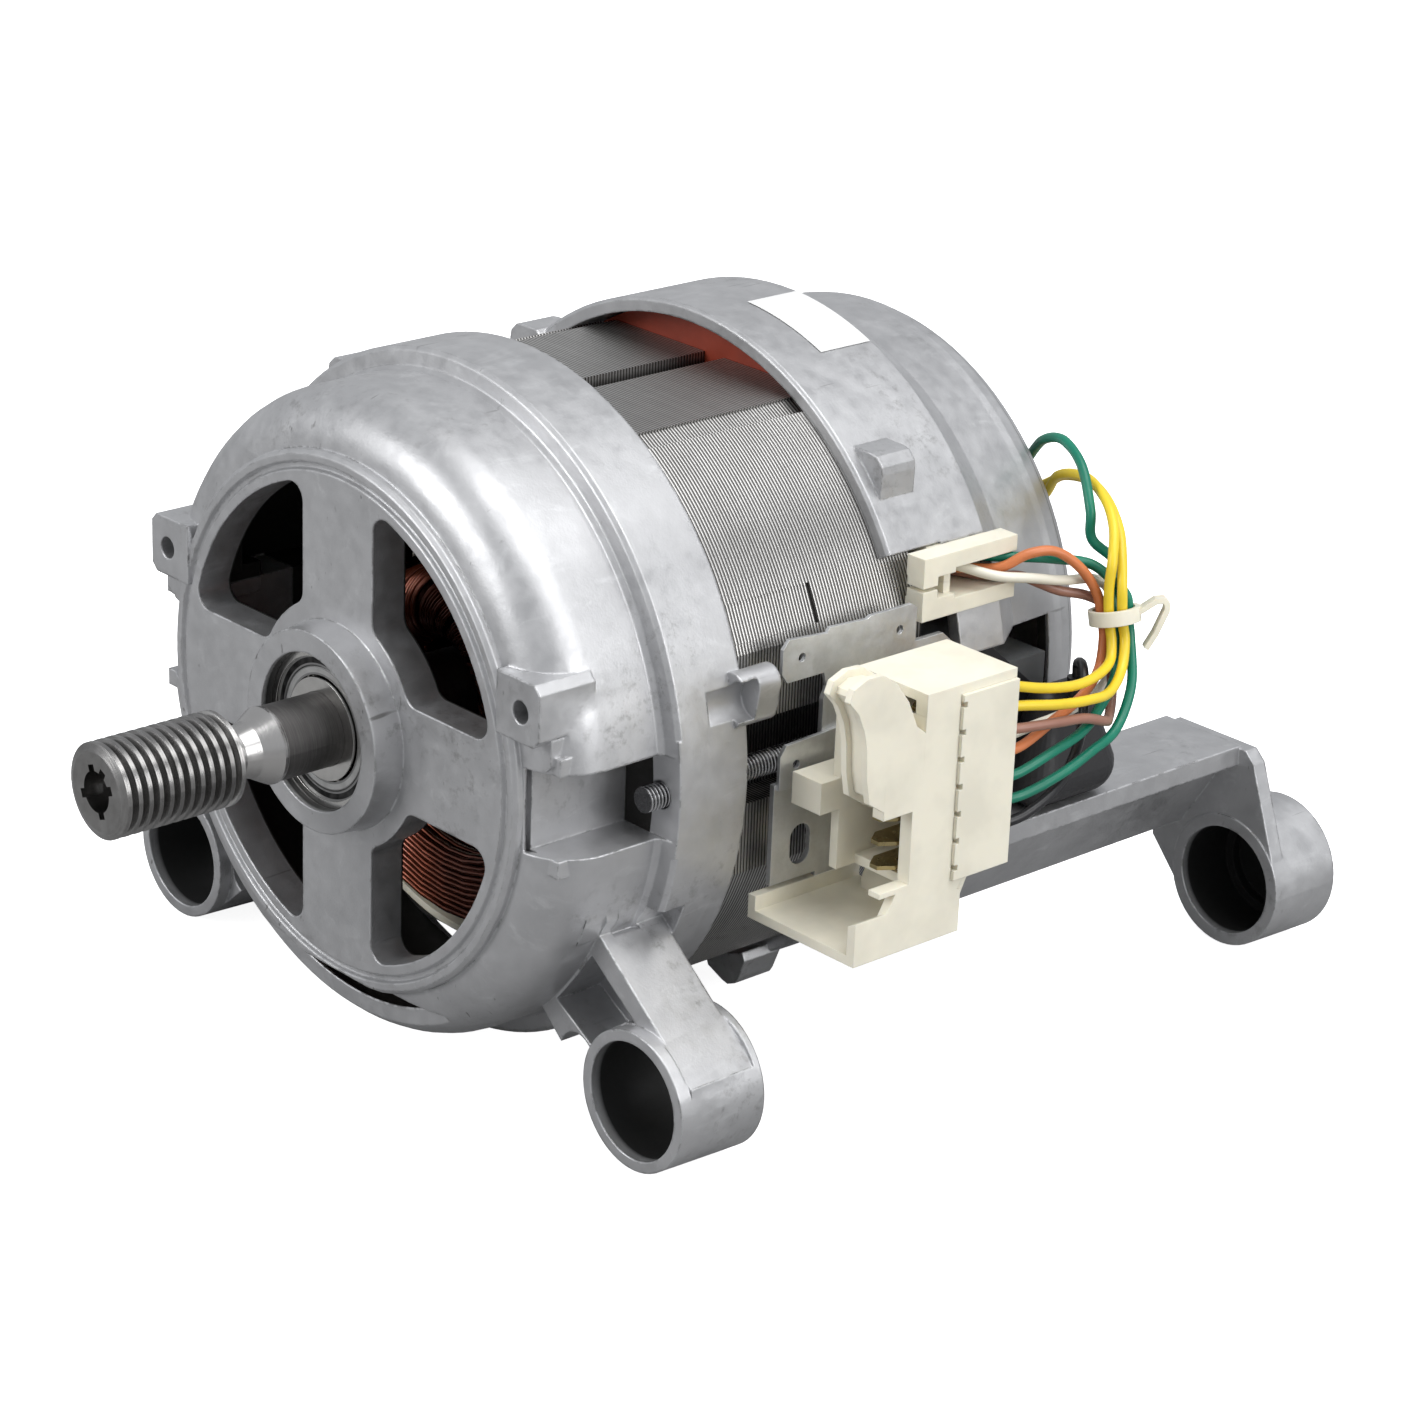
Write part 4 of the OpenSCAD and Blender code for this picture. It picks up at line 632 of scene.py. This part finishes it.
def make_wires():
    wires = {
        "green_wires": [GREEN_BRIGHT + plug_end(2), GREEN_DARK + plug_end(1)],
        "yellow_wires": [YELLOW_UPPER + plug_end(6), YELLOW_LOWER + plug_end(5)],
        "orange_wire": [ORANGE + plug_end(3)],
        "brown_wire": [BROWN + plug_end(4)],
        "white_wire": [WHITE],
        "black_wire": [BLACK + plug_end(0)],
    }
    for node, routes in wires.items():
        slot = node.replace("_wires", "_wire")
        round_tubes(node + "_smooth", [smooth_path(r) for r in routes], WIRE_R, slot, node)


# Windings: bundles of thin turns on the same path as the part's coils

STACK_FRONT = 24
STACK_BACK = 82
STACK_MIDDLE = (STACK_FRONT + STACK_BACK) / 2


def polar(angle, r, y):
    """A point round the shaft's axis, from degrees and millimetres."""
    a = math.radians(angle)
    return Vector((r * math.cos(a), y, r * math.sin(a))) * MM


# A field coil: layers lie on each other at its ends, columns go outwards
COIL_LAYERS = 6
COIL_COLUMNS = 11
COIL_END_GAP = 5.5
COIL_INNER_R = 34.2
COIL_PITCH = 1.22
COIL_STAGGER = 0.6
COIL_HALF_ANGLE = 57.4
LAYER_ANGLE = 1.75
FIRST_OVERHANG = -0.6
LAYER_OVERHANG = 1.15
COIL_WIRE_R = 0.62
COIL_WOBBLE = 0.12
LEG_STEPS = 14
CORNER_STEPS = 3
CORNER_PULL = 1.6


def saddle_turn(r, half_angle, overhang, flip, jitter):
    """One closed turn of a field coil round its pole, as four legs with rounded corners."""
    front = STACK_FRONT - COIL_END_GAP - overhang
    back = STACK_BACK + COIL_END_GAP + overhang
    left, right = 90 + half_angle, 90 - half_angle
    corners = [(left, back), (left, front), (right, front), (right, back)]
    points = []
    for leg, (angle_a, y_a) in enumerate(corners):
        angle_b, y_b = corners[(leg + 1) % len(corners)]
        for i in range(LEG_STEPS):
            t = i / LEG_STEPS
            angle = angle_a + (angle_b - angle_a) * t
            y = y_a + (y_b - y_a) * t
            corner = min(t, 1 - t) * LEG_STEPS / CORNER_STEPS
            pull = CORNER_PULL * max(0.0, 1 - corner) ** 2
            y += pull if y < STACK_MIDDLE else -pull
            r_here = r + jitter.uniform(-COIL_WOBBLE, COIL_WOBBLE)
            p = polar(angle, r_here, y + jitter.uniform(-COIL_WOBBLE, COIL_WOBBLE))
            points.append(Vector((p.x, p.y, p.z * flip)))
    return points


def make_field_coils():
    for name, flip in (("upper_field_coil", 1), ("lower_field_coil", -1)):
        jitter = random.Random(7 + flip)
        turns = []
        for layer in range(COIL_LAYERS):
            half_angle = COIL_HALF_ANGLE + layer * LAYER_ANGLE
            overhang = FIRST_OVERHANG + layer * LAYER_OVERHANG
            for column in range(COIL_COLUMNS):
                r = COIL_INNER_R + column * COIL_PITCH + (COIL_STAGGER if layer % 2 else 0)
                turns.append(saddle_turn(r, half_angle, overhang, flip, jitter))
        round_tubes(name + "_turns", turns, COIL_WIRE_R, "copper", name, cyclic=True, sides=1)


# The rotor's end turns: bundles of strands, each strand once round the bundle's ring
BUNDLES = 12
STRANDS = 11
STRAND_ANGLE = 2.3
TURN_STEPS = 24
TURN_SPAN = 62
TURN_MAJOR_R = 19
TURN_MINOR_R = 7
TURN_WOBBLE = (-0.25, 0.3)
TURN_WIRE_R = 0.42
ROTOR_CORE_FRONT = STACK_FRONT + 1
SLOT_LINER_OUT = 1.6
BUNDLE_GAP = 0.8
SEAT_GAP = 0.5
SEAT_Y = ROTOR_CORE_FRONT - SLOT_LINER_OUT
BUNDLE_Y = SEAT_Y - TURN_MINOR_R - BUNDLE_GAP


def make_rotor_turns():
    """Thin slanted turns round the front bundle of the rotor's winding."""
    jitter = random.Random(3)
    turns = []
    for bundle in range(BUNDLES):
        for strand in range(STRANDS):
            start = 360 / BUNDLES * bundle + STRAND_ANGLE * strand
            minor = TURN_MINOR_R + jitter.uniform(*TURN_WOBBLE)
            path = []
            for i in range(TURN_STEPS + 1):
                round_bundle = math.radians(180 + 360 * i / TURN_STEPS)
                major = start + TURN_SPAN * (i / TURN_STEPS - 0.5)
                r = TURN_MAJOR_R + minor * math.cos(round_bundle)
                y = BUNDLE_Y - minor * math.sin(round_bundle)
                path.append(polar(major, r, min(y, SEAT_Y - SEAT_GAP)))
            turns.append(path)
    round_tubes("rotor_front_turns", turns, TURN_WIRE_R, "copper", "rotor_end_turns", "rotor",
        sides=1)


# Carved pieces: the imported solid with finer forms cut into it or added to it

def prism(axis, outline, low, high):
    """A closed mesh from an outline in the two other directions, in millimetres."""
    bm = bmesh.new()
    rings = []
    for level in (low, high):
        ring = []
        for a, b in outline:
            place = {"X": (level, a, b), "Y": (a, level, b), "Z": (a, b, level)}[axis]
            ring.append(bm.verts.new(mm(*place)))
        rings.append(ring)
    bm.faces.new(rings[0])
    bm.faces.new(rings[1][::-1])
    count = len(outline)
    for i in range(count):
        j = (i + 1) % count
        bm.faces.new((rings[0][j], rings[0][i], rings[1][i], rings[1][j]))
    bmesh.ops.recalc_face_normals(bm, faces=bm.faces)
    mesh = bpy.data.meshes.new("prism")
    bm.to_mesh(mesh)
    bm.free()
    return mesh


def box_prism(low, high):
    (x0, y0, z0), (x1, y1, z1) = low, high
    return prism("Z", [(x0, y0), (x1, y0), (x1, y1), (x0, y1)], z0, z1)


SHARP_ANGLE = 35
WELD_DISTANCE = 1e-7


def forget(mesh, *layers):
    for layer in layers:
        if layer in mesh.attributes:
            mesh.attributes.remove(mesh.attributes[layer])


def copied_mesh(node):
    """A node's mesh in the frame's own place, without a material."""
    mesh = nodes[node].data.copy()
    mesh.materials.clear()
    mesh.transform(nodes[node].matrix_world)
    return mesh


def carved(name, node, steps, slot):
    """Takes over a node's mesh, with each step's solid cut away or joined on."""
    mesh = copied_mesh(node)
    forget(mesh, "custom_normal")
    bm = bmesh.new()
    bm.from_mesh(mesh)
    bmesh.ops.remove_doubles(bm, verts=bm.verts, dist=WELD_DISTANCE)
    bm.to_mesh(mesh)
    bm.free()
    work = bpy.data.objects.new(name + "_work", mesh)
    scene.collection.objects.link(work)
    tools = []
    for operation, solid in steps:
        tool = bpy.data.objects.new(name + "_tool", solid)
        scene.collection.objects.link(tool)
        modifier = work.modifiers.new("carve", "BOOLEAN")
        modifier.operation = operation
        modifier.solver = "EXACT"
        modifier.object = tool
        tools.append(tool)
    depsgraph = bpy.context.evaluated_depsgraph_get()
    result = bpy.data.meshes.new_from_object(work.evaluated_get(depsgraph))
    for used in [work, *tools]:
        data = used.data
        bpy.data.objects.remove(used)
        bpy.data.meshes.remove(data)
    result.materials.clear()
    forget(result, "custom_normal", "sharp_edge", "sharp_face")
    result.polygons.foreach_set("use_smooth", [True] * len(result.polygons))
    result.set_sharp_from_angle(angle=math.radians(SHARP_ANGLE))
    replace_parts(add_piece(name, result, slot), node)


# The connector's hooked guide, as outlines in y and z, and the boxes cut away round it
HOOK_X = 90
OUTER_X = 97
RIM_T = 1.5
INNER_RIM_X = (HOOK_X, HOOK_X + RIM_T)
OUTER_RIM_X = (OUTER_X - RIM_T, OUTER_X - 0.01)
# The core ends inside both rims
CORE_X = (HOOK_X + 0.4, OUTER_X - 0.7)
HOOK_SPACE = ((84.5, 27, 6.02), (98, 49.95, 33))
LIP_NOTCH = ((93.5, 39, -16.4), (98, 47.6, -1.4))
HOOK_OUTLINE = [
    (29.5, 24.8), (30.5, 27.2), (34, 28.6), (38, 28.4), (41.5, 26), (45, 21.5), (47.5, 16),
    (50, 14), (50.6, 12), (50.6, 0), (42, -0.9), (36, 3), (35, 8), (34.6, 14), (33.8, 18),
    (32, 22),
]
HOOK_CORE = [
    (31.2, 24.9), (31.6, 26), (34.2, 27.2), (37.6, 27), (40.6, 25), (43.8, 20.9), (46.3, 15.4),
    (49.4, 12.8), (50.6, 11), (50.6, 1), (42.2, 0.2), (37.2, 3.7), (36.2, 8.2), (35.8, 14.2),
    (35, 18.4), (33.2, 22.4),
]


def make_connector():
    """The hooked guide with two raised rims, and the lip set back from the blades' tips."""
    steps = [
        ("DIFFERENCE", box_prism(*HOOK_SPACE)),
        ("DIFFERENCE", box_prism(*LIP_NOTCH)),
        ("UNION", prism("X", HOOK_CORE, *CORE_X)),
        ("UNION", prism("X", HOOK_OUTLINE, *INNER_RIM_X)),
        ("UNION", prism("X", HOOK_OUTLINE, *OUTER_RIM_X)),
    ]
    carved("connector_housing_fine", "connector_housing", steps, "cream_plastic")


# What is cut from the front legs: outlines in x and z for the right one, each with its y
STRAP_TOP = [
    (59.5, -28.2), (80.6, -44.6), (84.4, -47.6), (86.6, -50), (90, -50), (90, -24), (62, -24),
]
STRAP_TOP_Y = (2.6, 18.9)
LEG_HOLLOW = [
    (57.6, -33), (54, -38), (50, -43), (47.5, -46), (59, -52.5), (59.8, -51), (61.5, -48.6),
    (64.2, -45.8), (67.6, -43.4), (70.5, -42.4),
]
LEG_HOLLOW_Y = (2, 14)
OUTER_RIB = [
    (63.4, -18), (62.6, -20.2), (60, -27), (56.6, -33.5), (53, -39), (60, -46), (68, -44),
    (68, -18),
]
OUTER_RIB_Y = (-2.4, 2.98)


def make_front_bracket():
    """The front legs as a slanting strap over a hollow."""
    cuts = ((STRAP_TOP, STRAP_TOP_Y), (LEG_HOLLOW, LEG_HOLLOW_Y), (OUTER_RIB, OUTER_RIB_Y))
    steps = []
    for side in (1, -1):
        for outline, stretch in cuts:
            placed = [(side * x, z) for x, z in outline]
            steps.append(("DIFFERENCE", prism("Y", placed, *stretch)))
    carved("front_bracket_fine", "front_bracket", steps, "cast_aluminium")


# Brush springs: the part's own, as pieces of the scene


def make_brush_springs():
    """Each spring as a piece of its own, with a copy of the part's mesh."""
    for side, outward in (("right", 1), ("left", -1)):
        node = side + "_brush_spring"
        piece = add_piece(node + "_turns", copied_mesh(node), SLOTS[node])
        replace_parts(piece, node)
        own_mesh(piece)


# Label: a blank white sticker that follows the arch

LABEL_X = (5, 27)
LABEL_Y = (86, 99.6)
LABEL_STEPS = 24
LABEL_LIFT = 0.12
LABEL_T = 0.1
ARCH_R = 70


def share(span, i):
    """The place of step i in a stretch."""
    return span[0] + (span[1] - span[0]) * i / LABEL_STEPS


def make_label():
    """A thin bent sheet in cells, closed along its rim."""
    row = LABEL_STEPS + 1
    count = row * row
    points = []
    for r in (ARCH_R + LABEL_LIFT, ARCH_R + LABEL_LIFT + LABEL_T):
        for i in range(row):
            for j in range(row):
                x = share(LABEL_X, i)
                points.append(mm(x, share(LABEL_Y, j), math.sqrt(r * r - x * x)))
    faces = []
    for i in range(LABEL_STEPS):
        for j in range(LABEL_STEPS):
            a = i * row + j
            faces.append((a, a + 1, a + row + 1, a + row))
            faces.append((count + a, count + a + row, count + a + row + 1, count + a + 1))
    for i in range(LABEL_STEPS):
        for j, turn in ((0, 1), (LABEL_STEPS, -1)):
            a = i * row + j
            faces.append((a, a + row, a + row + count, a + count)[::turn])
    for j in range(LABEL_STEPS):
        for i, turn in ((0, -1), (LABEL_STEPS, 1)):
            a = i * row + j
            faces.append((a, a + 1, a + 1 + count, a + count)[::turn])
    mesh = bpy.data.meshes.new("label")
    mesh.from_pydata(points, [], faces)
    mesh.update()
    add_piece("blank_label", mesh, paper())


scene.view_settings.view_transform = "Standard"
make_camera()
make_world()
make_lamps()
make_floor()
dress_nodes()
make_wires()
make_field_coils()
make_rotor_turns()
make_label()
make_connector()
make_front_bracket()
make_brush_springs()
